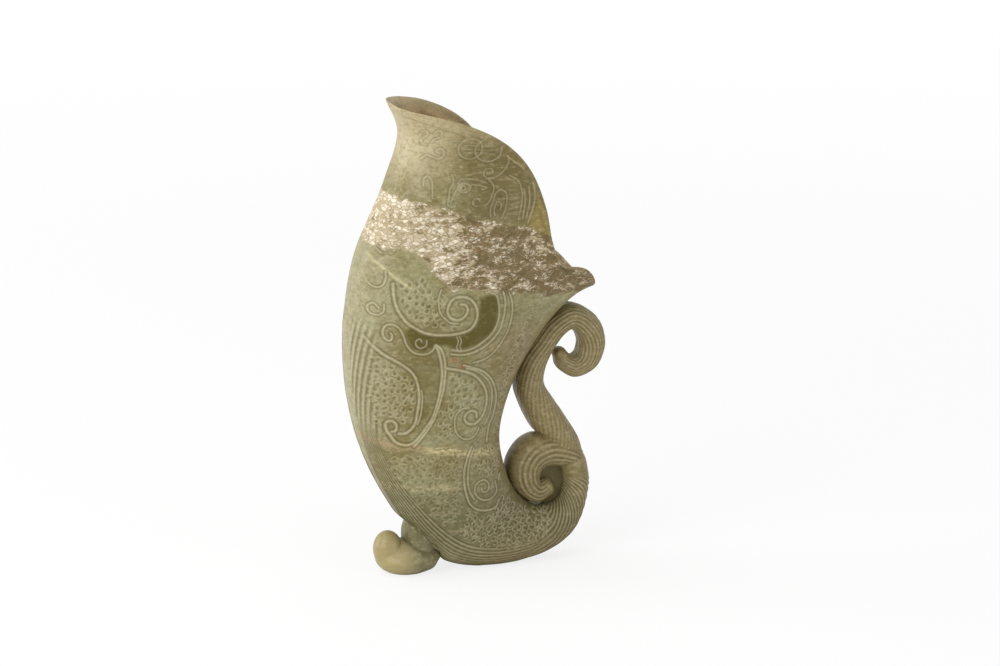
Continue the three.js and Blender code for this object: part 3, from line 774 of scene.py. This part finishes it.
class Piece:
    """One carved member: its points and faces, with the marks that the stone's colour uses."""

    def __init__(self, name):
        self.name, self.nodes = name, [name]
        self.points, self.marks, self.charts, self.faces, self.flat = [], [], [], [], []
        self.count = 0

    def put(self, points, marks, chart):
        """Adds points and returns their numbers. A chart holds each point's place on the flat map."""
        self.points.append(points)
        self.marks.append(marks)
        self.charts.append(chart)
        self.count += len(points)
        return np.arange(self.count - len(points), self.count)

    def join(self, faces, flat=False):
        self.faces.append(faces)
        self.flat.append(np.full(len(faces), flat))

    def at(self, numbers):
        return np.concatenate(self.points)[numbers]

    def span(self, rings):
        """Joins each ring to the next."""
        for first, second in zip(rings[:-1], rings[1:]):
            self.join(zipped(first, second))

    def close(self, ring, marks, chart, way=1, flat=False):
        """Closes a ring with a fan to its middle."""
        hub = self.put(self.at(ring).mean(axis=0)[None], marks, np.array([chart]))
        self.join(fan(ring, hub[0])[:, ::way], flat)

    def gather(self):
        lists = (self.points, self.marks, self.charts, self.faces, self.flat)
        return [np.concatenate(part) for part in lists]


MARKS = ("line", "hollow", "smooth", "gold", "pale", "ochre", "inside", "tail", "foot", "stalk")


def marks_of(count, **given):
    return np.stack([np.broadcast_to(np.asarray(given.get(name, 0.0), float), count) for name in MARKS], 1)


def blots(x, z, places):
    """How near a place is to any of some blots, each a place and a radius, twice as wide as tall."""
    far = [((x - px) / radius) ** 2 + ((z - pz) / (0.5 * radius)) ** 2 for px, pz, radius in places]
    return np.exp(-np.minimum.reduce(far))


def stains(points):
    """Marks for the tinted areas of the horn's sides."""
    x, y, z = points.T
    return {
        "smooth": chart_at(smooth_chart, x, z),
        "gold": chart_at(gold_chart, x, z),
        "pale": chart_at(crack_chart, x, z),
        "ochre": blots(x, z, OCHRE) * (y < 0),
    }


def plain_tree(limb, start, end):
    """The smooth skin of a stretch of a limb, for measuring distances to it."""
    faces, spots = tube(even_places(limb, start, end, 1.0), ANGLES)
    return BVHTree.FromPolygons(limb.point(*spots.T).tolist(), faces.tolist())


def egg(middle, radii):
    """The points, normals and faces of an egg with its poles across the mirror plane."""
    rows, columns = 48, 80
    around = 2 * np.pi * np.arange(columns) / columns
    fall = (np.pi * np.arange(1, rows) / rows)[:, None]
    unit = np.broadcast_arrays(np.sin(fall) * np.cos(around), -np.cos(fall), np.sin(fall) * np.sin(around))
    unit = np.vstack([np.stack(unit, -1).reshape(-1, 3), [(0, -1, 0), (0, 1, 0)]])
    normals = unit_length(unit / radii)
    grid = np.arange((rows - 1) * columns).reshape(rows - 1, columns)
    first, last = grid[0], grid[-1]
    faces = [zipped(upper, lower)[:, ::-1] for upper, lower in zip(grid[:-1], grid[1:])]
    faces += [fan(first, grid.size), fan(last, grid.size + 1)[:, ::-1]]
    return unit * radii + middle + (ORIGIN_SHIFT, 0, 0), normals, np.vstack(faces)


def egg_tree(middle, radii):
    points, _, faces = egg(middle, radii)
    return BVHTree.FromPolygons(points.tolist(), faces.tolist())


# Where limbs flow into each other: what each limb meets, the box that holds the meeting, and how wide it is
TRUNK_BOX = ((8, 16), (50, 58))
FOOT_BOX = ((-50, 0), (0, 40))
KNOB_REACH = 1.5
BOWL_REACH = 3
STALK_REACH = 5
HEEL_REACH = 6
TRUNK_REACH = 2
belly_tree = plain_tree(horn, BELLY - 1, ROOT)
stalk_tree = plain_tree(stalk, 0, stalk.last)
bowl_tree, knob_tree = egg_tree(*BOWL), egg_tree(*KNOB)
MEETINGS = {
    horn: [
        (stalk_tree, FOOT_BOX, STALK_REACH), (bowl_tree, FOOT_BOX, BOWL_REACH),
        (plain_tree(volute, 0, 5), TRUNK_BOX, TRUNK_REACH),
    ],
    stalk: [(belly_tree, FOOT_BOX, STALK_REACH), (bowl_tree, FOOT_BOX, HEEL_REACH)],
    volute: [(plain_tree(horn, TURN, SPLIT + 4), TRUNK_BOX, TRUNK_REACH)],
}


def push(points, normals, tree, reach, near=None):
    """Moves points along their normals where another skin is close, to fill the corner between them."""
    for number in np.arange(len(points)) if near is None else np.flatnonzero(near):
        found = tree.find_nearest(points[number].tolist(), reach)
        if found[0] is not None:
            points[number] += normals[number] * (reach - found[3]) ** 2 / (4 * reach)


def flow(limb, points, normals):
    """Fills the corners where a limb meets others."""
    for tree, (low, high), reach in MEETINGS[limb]:
        x, z = points[:, 0], points[:, 2]
        push(points, normals, tree, reach, (x > low[0]) & (x < high[0]) & (z > low[1]) & (z < high[1]))


def level_chart(angles, height):
    """Places on the flat map for a ring of points, all at one height."""
    return np.stack([angles / (2 * np.pi), np.full_like(angles, height)], 1)


def add_carved(piece, limb, relief, start, end, levels, row=ROW, angles=ANGLES):
    """Adds a limb's carved skin to a piece. Returns the rings at its ends and their angles."""
    faces, spots, points, line, hollow = carved(limb, relief, start, end, row, levels, angles)
    flow(limb, points, limb.normal(*spots.T))
    points[:, 2] = np.maximum(points[:, 2], 0)
    chart = np.stack([spots[:, 1] / (2 * np.pi), 0.7 * (spots[:, 0] - start) / (end - start)], 1)
    if limb is horn:
        tints = stains(points)
        tints["tail"] = smoothstep(ROOT + 0.5, SPLIT + 0.6, spots[:, 0])
    else:
        # the stalk's mark grows towards its foot and darkens it there with painted shade
        tints = {"tail": 1.0} if limb is volute else {"stalk": smoothstep(18, 10, points[:, 2])}
    numbers = piece.put(points, marks_of(len(points), line=line, hollow=hollow, **tints), chart)
    piece.join(numbers[faces][:, ::-1])
    ends = [ring_of(spots, place) for place in (start, end)]
    return [numbers[ring] for ring in ends], [spots[ring, 1] for ring in ends]


def hollow_wall(place):
    return LIP_WALL + (FLOOR_WALL - LIP_WALL) * place / WAIST


def hollow_shrink(place):
    into = np.clip((place - FLANK) / (WAIST - FLANK), 0, 1)
    return np.sqrt(np.maximum(0, 1 - into**2))


def hollow_ring(piece, place, angles, height, inset=None, drop=0.0, inside=1.0):
    """A ring of points on the hollow's skin."""
    spread = np.full_like(angles, place)
    wall = hollow_wall(place) if inset is None else inset
    points = horn.point(spread, angles, wall, hollow_shrink(place))
    if drop:
        down = horn.point(spread + NUDGE, angles, wall) - points
        points = points + unit_length(down) * drop
    return piece.put(points, marks_of(len(angles), inside=inside), level_chart(angles, height))


def add_cap(piece, ring, outward):
    """Closes a ring of points with a flat fan."""
    count = len(ring)
    angle = 2 * np.pi * np.arange(count) / count
    chart = np.stack([0.5 + 0.03 * np.cos(angle), 0.96 + 0.03 * np.sin(angle)], 1)
    rim = piece.put(piece.at(ring), marks_of(count), chart)
    piece.close(rim, marks_of(1), (0.5, 0.96), 1 if outward else -1, flat=True)


def add_dome(piece, limb, ring):
    """Rounds off the end of a limb."""
    spread = np.full_like(DENSE, limb.last)
    run = spline((limb.outer + limb.inner) / 2, [limb.last, limb.last - 2 * NUDGE])
    ahead = unit_length(np.array([run[0][0] - run[1][0], 0, run[0][1] - run[1][1]]))
    rings = [ring]
    for number in range(1, DOME_ROWS + 1):
        turn = number / DOME_ROWS * np.pi / 2 * 0.97
        points = limb.point(spread, DENSE, shrink=math.cos(turn)) + ahead * (DOME_LENGTH * math.sin(turn))
        chart = level_chart(DENSE, 0.72 + 0.15 * number / DOME_ROWS)
        rings.append(piece.put(points, marks_of(len(DENSE), tail=1.0), chart))
        piece.join(zipped(*rings[-2:])[:, ::-1])
    piece.close(rings[-1], marks_of(1, tail=1.0), (0.5, 0.9), -1)


def close_wall(piece, outer, inner, below):
    """The hidden face across the wall at a seam."""
    sides = []
    for ring, height in ((outer, 0.92), (inner, 0.94)):
        chart = np.stack([np.arange(len(ring)) / len(ring), np.full(len(ring), height)], 1)
        sides.append(piece.put(piece.at(ring), marks_of(len(ring)), chart))
    faces = zipped(*sides)
    piece.join(faces[:, ::-1] if below else faces, flat=True)


def lip_band():
    piece = Piece("lip_band")
    (top, bottom), (top_angles, bottom_angles) = add_carved(piece, horn, horn_relief, LIP_ROLL, NECK, FINEST)
    rings = [top]
    for number in range(1, LIP_STEPS + 1):
        turn = np.pi * number / LIP_STEPS
        outside = 2 * number <= LIP_STEPS
        wide = LIP_EDGE if outside else LIP_WALL - LIP_EDGE
        tall = 2 * LIP_EDGE if outside else LIP_WALL - LIP_EDGE
        inset = LIP_EDGE - wide * math.cos(turn)
        drop = tall * (1 - math.sin(turn)) + 0.001
        inside = number / (2 * LIP_STEPS)
        rings.append(hollow_ring(piece, 0.0, top_angles, 0.71 + 0.008 * number, inset, drop, inside))
    for number, place in enumerate(np.linspace(0.2, NECK, LIP_ROWS)):
        angles = top_angles if place < NECK else bottom_angles
        rings.append(hollow_ring(piece, place, angles, 0.82 + 0.01 * number))
    piece.span(rings)
    close_wall(piece, bottom, rings[-1], True)
    return piece


def add_hollow(piece, start, end):
    """The hollow's skin down a stretch of the horn. Returns its first and last ring."""
    rings = []
    for number, place in enumerate(np.linspace(start, end, HOLLOW_ROWS)):
        rings.append(hollow_ring(piece, place, ANGLES, 0.72 + 0.18 * number / HOLLOW_ROWS))
    piece.span(rings)
    return rings[0], rings[-1]


def upper_horn():
    piece = Piece("upper_horn")
    (top, bottom), _ = add_carved(piece, horn, horn_relief, NECK, CHEST, FINEST)
    first, last = add_hollow(piece, NECK, CHEST)
    close_wall(piece, top, first, False)
    close_wall(piece, bottom, last, True)
    return piece


def lower_horn():
    piece = Piece("lower_horn")
    (top, bottom), _ = add_carved(piece, horn, horn_relief, CHEST, BELLY, FINEST)
    first, last = add_hollow(piece, CHEST, WAIST - 0.01)
    piece.close(last, marks_of(1, inside=1.0), (0.5, 0.91))
    close_wall(piece, top, first, False)
    add_cap(piece, bottom, False)
    return piece


def solid_stretch(name, limb, relief, start, end, levels, row, angles=ANGLES, dome=False):
    """A solid member between two places of a limb, with a flat or a rounded end."""
    piece = Piece(name)
    (top, bottom), _ = add_carved(piece, limb, relief, start, end, levels, row, angles)
    add_cap(piece, top, True)
    if dome:
        add_dome(piece, limb, bottom)
    else:
        add_cap(piece, bottom, False)
    return piece


def volute_with_web():
    piece = solid_stretch("tail_volute", volute, volute_relief, 0, volute.last, 0, TAIL_ROW, DENSE, dome=True)
    x, z, radius, half = WEB
    angles = np.linspace(0, 2 * np.pi, WEB_SIDES + 1)[:-1]
    rings = []
    for share, depth in WEB_SECTION:
        across, rise = share * np.cos(angles), share * np.sin(angles)
        y = np.full(WEB_SIDES, depth * half)
        points = np.stack([x + ORIGIN_SHIFT + radius * across, y, z + radius * rise], 1)
        chart = np.stack([0.2 + 0.04 * across, 0.95 + 0.02 * np.sign(depth) + 0.015 * rise], 1)
        # The web and its closing fans are marked as a hollow, so their colour is darkened: painted shade deep
        # in the volute's eye
        rings.append(piece.put(points, marks_of(WEB_SIDES, tail=1.0, hollow=1.0), chart))
    piece.span(rings)
    for ring, way in ((rings[0], -1), (rings[-1], 1)):
        piece.close(ring, marks_of(1, tail=1.0, hollow=1.0), (0.2, 0.95), way)
    return piece


def foot_scroll():
    piece = Piece("foot_scroll")
    meetings = [
        (BOWL, 0.1, [(stalk_tree, HEEL_REACH), (belly_tree, BOWL_REACH), (knob_tree, KNOB_REACH)]),
        (KNOB, 0.6, [(bowl_tree, KNOB_REACH)]),
    ]
    for (middle, radii), left, trees in meetings:
        points, normals, faces = egg(middle, radii)
        off = (points - middle) / radii
        for tree, reach in trees:
            push(points, normals, tree, reach)
        points[:, 2] = np.maximum(points[:, 2], 0)
        # the left of the foot takes the honey tint, and the side by the stalk the stalk's darker tint, which
        # is painted shade
        honey = smoothstep(-26, -37, points[:, 0])
        across = left + 0.2 + 0.18 * off[:, 0]
        chart = np.stack([across, 0.5 + 0.2 * off[:, 2] + 0.22 * np.sign(off[:, 1])], 1)
        numbers = piece.put(points, marks_of(len(points), foot=honey, stalk=1 - honey), chart)
        piece.join(numbers[faces])
    return piece


# Pieces in families: shading runs smoothly on across the seams inside a family
families = [
    [
        lip_band(),
        upper_horn(),
        lower_horn(),
        solid_stretch("belly", horn, horn_relief, BELLY, ROOT, FINEST, ROW),
        solid_stretch("tail_trunk", horn, horn_relief, ROOT, SPLIT, 0, TAIL_ROW, DENSE),
        solid_stretch("tail_strand", horn, horn_relief, SPLIT, HOOK_START, 0, TAIL_ROW, DENSE),
        solid_stretch("tail_hook", horn, horn_relief, HOOK_START, horn.last, 0, TAIL_ROW, DENSE, dome=True),
    ],
    [volute_with_web()],
    [
        solid_stretch("foot_stalk", stalk, stalk_relief, 0, stalk.last, 1, STALK_ROW),
        foot_scroll(),
    ],
]

# Points in one cell of a fine grid count as one for shading: its cells to a millimetre
WELD = 500


def shade_normals(family):
    """Normals of a family of pieces, smooth across the seams between them."""
    parts = [piece.gather() for piece in family]
    points = np.concatenate([part[0] for part in parts])
    offsets = np.concatenate([[0], np.cumsum([len(part[0]) for part in parts])])
    faces = np.concatenate([part[3] + start for part, start in zip(parts, offsets)])
    flat = np.concatenate([part[4] for part in parts])
    corner = points[faces]
    face_normal = np.cross(corner[:, 1] - corner[:, 0], corner[:, 2] - corner[:, 0])
    key = np.round(points * WELD).astype(np.int64) + 2**19
    key = (key[:, 0] << 40) + (key[:, 1] << 20) + key[:, 2]
    shut = np.zeros(len(points), bool)
    shut[faces[flat].ravel()] = True
    key[shut] = -1 - np.flatnonzero(shut)
    _, group = np.unique(key, return_inverse=True)
    total = np.zeros((group.max() + 1, 3))
    for k in range(3):
        np.add.at(total, group[faces[:, k]], face_normal)
    normals = unit_length(total)[group]
    spans = zip(offsets[:-1], offsets[1:])
    return [(piece, part, normals[a:b]) for piece, part, (a, b) in zip(family, parts, spans)]


def make_mesh(piece, part, normals, material):
    points, marks, charts, faces, _ = part
    mesh = bpy.data.meshes.new(piece.name + "_carved")
    mesh.from_pydata((points * MM).tolist(), [], faces.tolist())
    mesh.polygons.foreach_set("use_smooth", np.ones(len(faces), bool))
    for k, name in enumerate(MARKS):
        attribute = mesh.attributes.new(name, "FLOAT", "POINT")
        attribute.data.foreach_set("value", np.ascontiguousarray(marks[:, k], np.float32))
    corner = charts[faces]
    wrapped = (corner[:, :, 0].max(axis=1) - corner[:, :, 0].min(axis=1)) > 0.5
    corner[:, :, 0] += (wrapped[:, None] & (corner[:, :, 0] < 0.5)) * 1.0
    corner[:, :, 0] /= 1.05
    layer = mesh.uv_layers.new(name="OFBake")
    layer.data.foreach_set("uv", np.ascontiguousarray(corner.reshape(-1), np.float32))
    mesh.materials.append(material)
    mesh.normals_split_custom_set_from_vertices(normals.tolist())
    made = bpy.data.objects.new(piece.name + "_carved", mesh)
    bpy.context.scene.collection.objects.link(made)
    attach(made, "root")
    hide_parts(*piece.nodes)


def linear(tint):
    """The linear colour of one as it is seen on a scale of 255. The output of a node stays as it is."""
    if not isinstance(tint, tuple):
        return tint
    seen = [c / 255 for c in tint]
    return (*[c / 12.92 if c <= 0.04045 else ((c + 0.055) / 1.055) ** 2.4 for c in seen], 1)


class Shade:
    """Adds nodes to a material or a world. add returns the node, and other methods return an output."""

    def __init__(self, tree):
        self.tree = tree

    def add(self, kind, values=(), **settings):
        node = self.tree.nodes.new(kind)
        for name, value in settings.items():
            setattr(node, name, value)
        for key, value in dict(values).items():
            if hasattr(value, "is_output"):
                self.tree.links.new(value, node.inputs[key])
            else:
                node.inputs[key].default_value = value
        return node

    def math(self, operation, a, b=0.0, c=0.0):
        return self.add("ShaderNodeMath", {0: a, 1: b, 2: c}, operation=operation).outputs[0]

    def times(self, a, b):
        return self.math("MULTIPLY", a, b)

    def plus(self, a, b):
        return self.math("ADD", a, b)

    def minus(self, a, b):
        return self.math("SUBTRACT", a, b)

    def slope(self, value, factor, start):
        """A value times a factor, counted from a start."""
        return self.math("MULTIPLY_ADD", value, factor, start)

    def step(self, value, low, high, start=0.0, end=1.0):
        """Rises smoothly from start to end as the value goes from low to high."""
        values = {"Value": value, "From Min": low, "From Max": high, "To Min": start, "To Max": end}
        return self.add("ShaderNodeMapRange", values, interpolation_type="SMOOTHSTEP").outputs[0]

    def mix(self, share, a, b):
        values = {0: share, 6: linear(a), 7: linear(b)}
        return self.add("ShaderNodeMix", values, data_type="RGBA", clamp_factor=True).outputs[2]

    def layers(self, tone, rows):
        """Lays tints over a tone in turn, each as strong as the product of its shares."""
        for tint, strength, *shares in rows:
            for share in shares:
                strength = self.times(strength, share)
            tone = self.mix(strength, tone, tint)
        return tone

    def noise(self, place, size, detail, rough):
        """Cloudy noise with features of about a size in millimetres."""
        values = {"Vector": place, "Scale": 1 / size, "Detail": detail, "Roughness": rough}
        return self.add("ShaderNodeTexNoise", values).outputs[0]

    def mark(self, name):
        return self.add("ShaderNodeAttribute", attribute_name=name).outputs["Fac"]

    def scaled(self, place, factors):
        return self.add("ShaderNodeVectorMath", {0: place, 1: factors}, operation="MULTIPLY").outputs[0]


def new_material(name):
    """A new material, what adds nodes to it, and its surface node."""
    material = bpy.data.materials.new(name)
    material.use_nodes = True
    return material, Shade(material.node_tree), material.node_tree.nodes["Principled BSDF"]


def stone_material():
    """Olive-green stone, clouded and streaked, with a thick pale vein across it."""
    material, shade, surface = new_material("olive_stone")
    mix, step, times, plus, minus = shade.mix, shade.step, shade.times, shade.plus, shade.minus
    slope, mark, noise, scaled = shade.slope, shade.mark, shade.noise, shade.scaled
    where = shade.add("ShaderNodeTexCoord").outputs["Object"]
    place = scaled(where, (1 / MM, 1 / MM, 1 / MM))
    x, _, z = shade.add("ShaderNodeSeparateXYZ", {0: place}).outputs

    clouds = noise(place, 26, 4, 0.6)
    patches = noise(scaled(place, (1, 1, 1.7)), 8, 4, 0.6)
    grain = noise(place, 1.1, 3, 0.65)
    streaks = noise(scaled(place, (0.25, 0.25, 1.6)), 3.2, 4, 0.65)
    mottle = noise(scaled(place, (0.7, 0.7, 1.2)), 1.7, 4, 0.7)
    calm = shade.math("MAXIMUM", mark("foot"), times(mark("smooth"), 0.8))
    bare = minus(1.0, times(calm, 0.8))
    line, hollow = mark("line"), mark("hollow")

    # The body of the stone: grey-green, turning olive
    tone = shade.layers((146, 141, 102), [
        ((122, 111, 66), step(clouds, 0.38, 0.62)),
        ((158, 152, 122), step(patches, 0.44, 0.7, 0, 0.5)),
        # brown on the breast, painted shade underneath that eases off at the very bottom, the front and the
        # back of the neck, the rim
        ((134, 117, 82), step(x, -14, 12), step(z, 114, 94), 0.65),
        ((92, 88, 56), step(z, 56, 22), step(z, 3, 18), 0.8),
        ((102, 88, 48), step(x, -24, -2), step(z, 142, 156), 0.8),
        ((190, 176, 142), step(x, -8, -30), step(z, 158, 184), 0.85),
        ((166, 150, 108), step(z, 180, 188), 0.5),
        # the tail, pale streaks, and a painted sheen on the back
        ((136, 121, 80), mark("tail"), 0.7),
        ((168, 154, 118), step(streaks, 0.54, 0.72, 0, 0.4)),
        ((170, 164, 134), step(x, -36, -54), step(z, 40, 70), 0.5),
        # areas with a tint of their own
        ((84, 74, 18), mark("smooth"), 0.95),
        ((138, 120, 66), mark("gold"), 0.8),
        ((160, 145, 100), mark("foot"), 0.85),
        # the stalk and the bowl beside it: darker, which is painted shade
        ((114, 108, 80), mark("stalk"), 0.6),
        # dark and pale mottling
        ((84, 76, 42), bare, step(mottle, 0.46, 0.72, 0, 0.42)),
        ((186, 178, 142), bare, step(mottle, 0.5, 0.3, 0, 0.36)),
    ])

    # The vein: pale cobbles with thin brown outlines, flecked more with olive and brown towards the spout
    top = minus(slope(x, -0.285, 149.8), z)
    low = minus(z, slope(x, -0.18, 120.3))
    low = minus(low, step(x, -18, -36, 0, 12))
    depth = plus(shade.math("MINIMUM", top, low), slope(patches, 7.0, -3.5))
    vein = step(plus(depth, slope(mottle, 6.0, -3.0)), -0.5, 0.9)
    drift = shade.add("ShaderNodeTexNoise", {"Vector": place, "Scale": 0.35, "Detail": 2.0}).outputs[1]
    drift = scaled(drift, (2.4, 2.4, 1.6))
    bent = shade.add("ShaderNodeVectorMath", {0: place, 1: drift}, operation="ADD").outputs[0]
    rusty = step(x, -40, 16)
    long_grain = scaled(bent, (0.5, 0.5, 1.1))
    flecks = noise(long_grain, 0.85, 5, 0.8)
    clumps = noise(scaled(bent, (0.7, 0.7, 1.2)), 4.5, 3, 0.6)
    cobbles = {"Vector": long_grain, "Scale": 1 / 1.35}
    outline = shade.add("ShaderNodeTexVoronoi", cobbles, feature="DISTANCE_TO_EDGE").outputs["Distance"]
    each = shade.add("ShaderNodeTexVoronoi", cobbles, feature="F1").outputs["Color"]
    each = shade.add("ShaderNodeSeparateXYZ", {0: each}).outputs[0]
    dark = plus(flecks, slope(clumps, 0.8, -0.4))
    dark = step(slope(rusty, 0.14, dark), 0.52, 0.61)
    stain = mix(step(grain, 0.44, 0.58), (92, 80, 42), (124, 98, 60))
    stain = mix(step(rusty, 0, 0.45), (150, 132, 98), stain)
    pale = shade.layers((230, 219, 198), [
        ((172, 156, 122), each),
        ((146, 128, 94), step(outline, 0.14, 0.02), 0.75),
        (stain, dark, 0.92),
        ((88, 80, 44), step(clumps, 0.56, 0.64), step(flecks, 0.42, 0.56), 0.7),
    ])

    # Two thin seams of pale grains low down, and the skin of the hollow
    wave = slope(patches, 3.0, -1.5)
    upper = shade.math("ABSOLUTE", plus(minus(z, slope(x, -0.17, 51.2)), wave))
    lower = shade.math("ABSOLUTE", plus(minus(z, 39.0), wave))
    tint = mix(step(x, -24, -34), (202, 186, 138), (168, 142, 104))
    skin = shade.layers((166, 143, 102), [
        ((106, 84, 52), step(patches, 0.44, 0.68, 0, 0.7)),
        ((92, 72, 45), step(mottle, 0.5, 0.7, 0, 0.5)),
    ])
    tone = shade.layers(tone, [
        (pale, vein),
        (tint, step(upper, 2.2, 0.8), step(flecks, 0.42, 0.56), step(x, 12, -6), 0.85),
        ((190, 176, 138), step(lower, 2.4, 0.6), step(flecks, 0.46, 0.6), step(x, -8, -20), 0.8),
        # the healed crack and the traces of red
        ((200, 188, 146), mark("pale"), 0.75),
        ((160, 92, 64), mark("ochre"), step(grain, 0.4, 0.56)),
        # the engraving: hollows are dark with wax and painted shade, and lines are pale with wear and a
        # painted highlight
        ((76, 66, 32), hollow, 0.72),
        ((200, 192, 156), line, 0.55),
        ((84, 74, 44), bare, step(grain, 0.5, 0.72, 0, 0.34)),
        (skin, mark("inside")),
    ])
    material.node_tree.links.new(tone, surface.inputs["Base Color"])

    dull = 0.38
    for share, factor in ((hollow, 0.2), (vein, 0.12), (mark("smooth"), -0.12), (mark("foot"), -0.14)):
        dull = slope(share, factor, dull)
    material.node_tree.links.new(dull, surface.inputs["Roughness"])
    surface.inputs["Specular IOR Level"].default_value = 0.25
    return material


stone = stone_material()

for family in families:
    for piece, part, normals in shade_normals(family):
        make_mesh(piece, part, normals, stone)

# The camera: its turn and rise in degrees, how far off it is, the point that it aims at, how far it is moved
# to the right and up from there, its lens, its sensor's width, and the depth that it sees in metres
VIEW_TURN = -21
VIEW_RISE = 15
VIEW_DISTANCE = 3000
VIEW_AIM = (-2.5, 0, 100)
VIEW_SHIFT = (12.43, -2.24)
LENS = 265.1
SENSOR = 36
CLIP = (0.05, 20)


def add_camera():
    turn, rise = math.radians(VIEW_TURN), math.radians(VIEW_RISE)
    right = np.array([math.cos(turn), math.sin(turn), 0])
    back = np.array([math.sin(turn) * math.cos(rise), -math.cos(turn) * math.cos(rise), math.sin(rise)])
    up = np.cross(back, right)
    place = np.array(VIEW_AIM) + right * VIEW_SHIFT[0] + up * VIEW_SHIFT[1] + back * VIEW_DISTANCE
    camera = bpy.data.cameras.new("camera")
    camera.lens = LENS
    camera.sensor_width = SENSOR
    camera.clip_start, camera.clip_end = CLIP
    seen = bpy.data.objects.new("camera", camera)
    matrix = np.eye(4)
    matrix[:3, 0], matrix[:3, 1], matrix[:3, 2], matrix[:3, 3] = right, up, back, place * MM
    bpy.context.scene.collection.objects.link(seen)
    seen.matrix_world = Matrix(matrix.tolist())
    bpy.context.scene.camera = seen


add_camera()

# The lights: place, aim and size in metres, and power in watts
LIGHTS = {
    "key": ((-1.5, -0.8, 0.9), (0, 0, 0.1), (1.2, 1.4), 20),
    "edge": ((-1.4, 0.8, 0.6), (0, 0, 0.1), (0.8, 1.2), 10),
    "fill": ((0.9, -1.5, 0.4), (0, 0, 0.08), (1.0, 0.8), 6),
    "top": ((-0.2, 0.1, 1.5), (0, 0, 0.1), (1.2, 1.2), 7),
}


def add_light(name, place, aim, size, power):
    light = bpy.data.lights.new(name, "AREA")
    light.shape = "RECTANGLE"
    light.size, light.size_y = size
    light.energy = power
    lamp = bpy.data.objects.new(name, light)
    lamp.location = place
    lamp.rotation_mode = "QUATERNION"
    lamp.rotation_quaternion = (Vector(aim) - Vector(place)).to_track_quat("-Z", "Y")
    bpy.context.scene.collection.objects.link(lamp)


for name, light in LIGHTS.items():
    add_light(name, *light)

# The floor, in metres: half its width, its level, how much of its light is its own near the part, and how far
# off that rises to all of it
FLOOR_HALF = 4
FLOOR_LEVEL = -0.0002
FLOOR_GLOW = 0.8
FLOOR_FADE = (0.3, 1.0)
# How strong the sky's light is where the sky itself isn't seen
SKY_LIGHT = 0.45


def floor_material():
    """White paper: where the camera sees it, most of its light is its own, and far from the part all."""
    material, shade, paper = new_material("floor_paper")
    paper.inputs["Base Color"].default_value = (0.9, 0.9, 0.9, 1)
    paper.inputs["Roughness"].default_value = 0.9
    glow = shade.add("ShaderNodeEmission", {"Color": (1, 1, 1, 1), "Strength": 1.0}).outputs[0]
    paths = shade.add("ShaderNodeLightPath").outputs
    place = shade.add("ShaderNodeNewGeometry").outputs["Position"]
    far = shade.add("ShaderNodeVectorMath", {0: place}, operation="LENGTH").outputs["Value"]
    share = shade.times(paths["Is Camera Ray"], shade.step(far, *FLOOR_FADE, FLOOR_GLOW, 1.0))
    both = shade.add("ShaderNodeMixShader", {0: share, 1: paper.outputs[0], 2: glow}).outputs[0]
    material.node_tree.links.new(both, material.node_tree.nodes["Material Output"].inputs["Surface"])
    return material


corners = [(x * FLOOR_HALF, y * FLOOR_HALF, FLOOR_LEVEL) for x, y in ((-1, -1), (1, -1), (1, 1), (-1, 1))]
floor_mesh = bpy.data.meshes.new("floor")
floor_mesh.from_pydata(corners, [], [(0, 1, 2, 3)])
floor_mesh.materials.append(floor_material())
floor = bpy.data.objects.new("floor", floor_mesh)
bpy.context.scene.collection.objects.link(floor)

world = bpy.data.worlds.new("studio")
bpy.context.scene.world = world
world.use_nodes = True
sky = Shade(world.node_tree)
paths = sky.add("ShaderNodeLightPath").outputs
mirrored = sky.math("MAXIMUM", paths["Is Glossy Ray"], paths["Is Transmission Ray"])
seen = sky.math("MAXIMUM", paths["Is Camera Ray"], mirrored)
backdrop = world.node_tree.nodes["Background"]
backdrop.inputs["Color"].default_value = (1, 1, 1, 1)
world.node_tree.links.new(sky.step(seen, 0, 1, SKY_LIGHT, 1.0), backdrop.inputs["Strength"])
bpy.context.scene.view_settings.view_transform = "Standard"
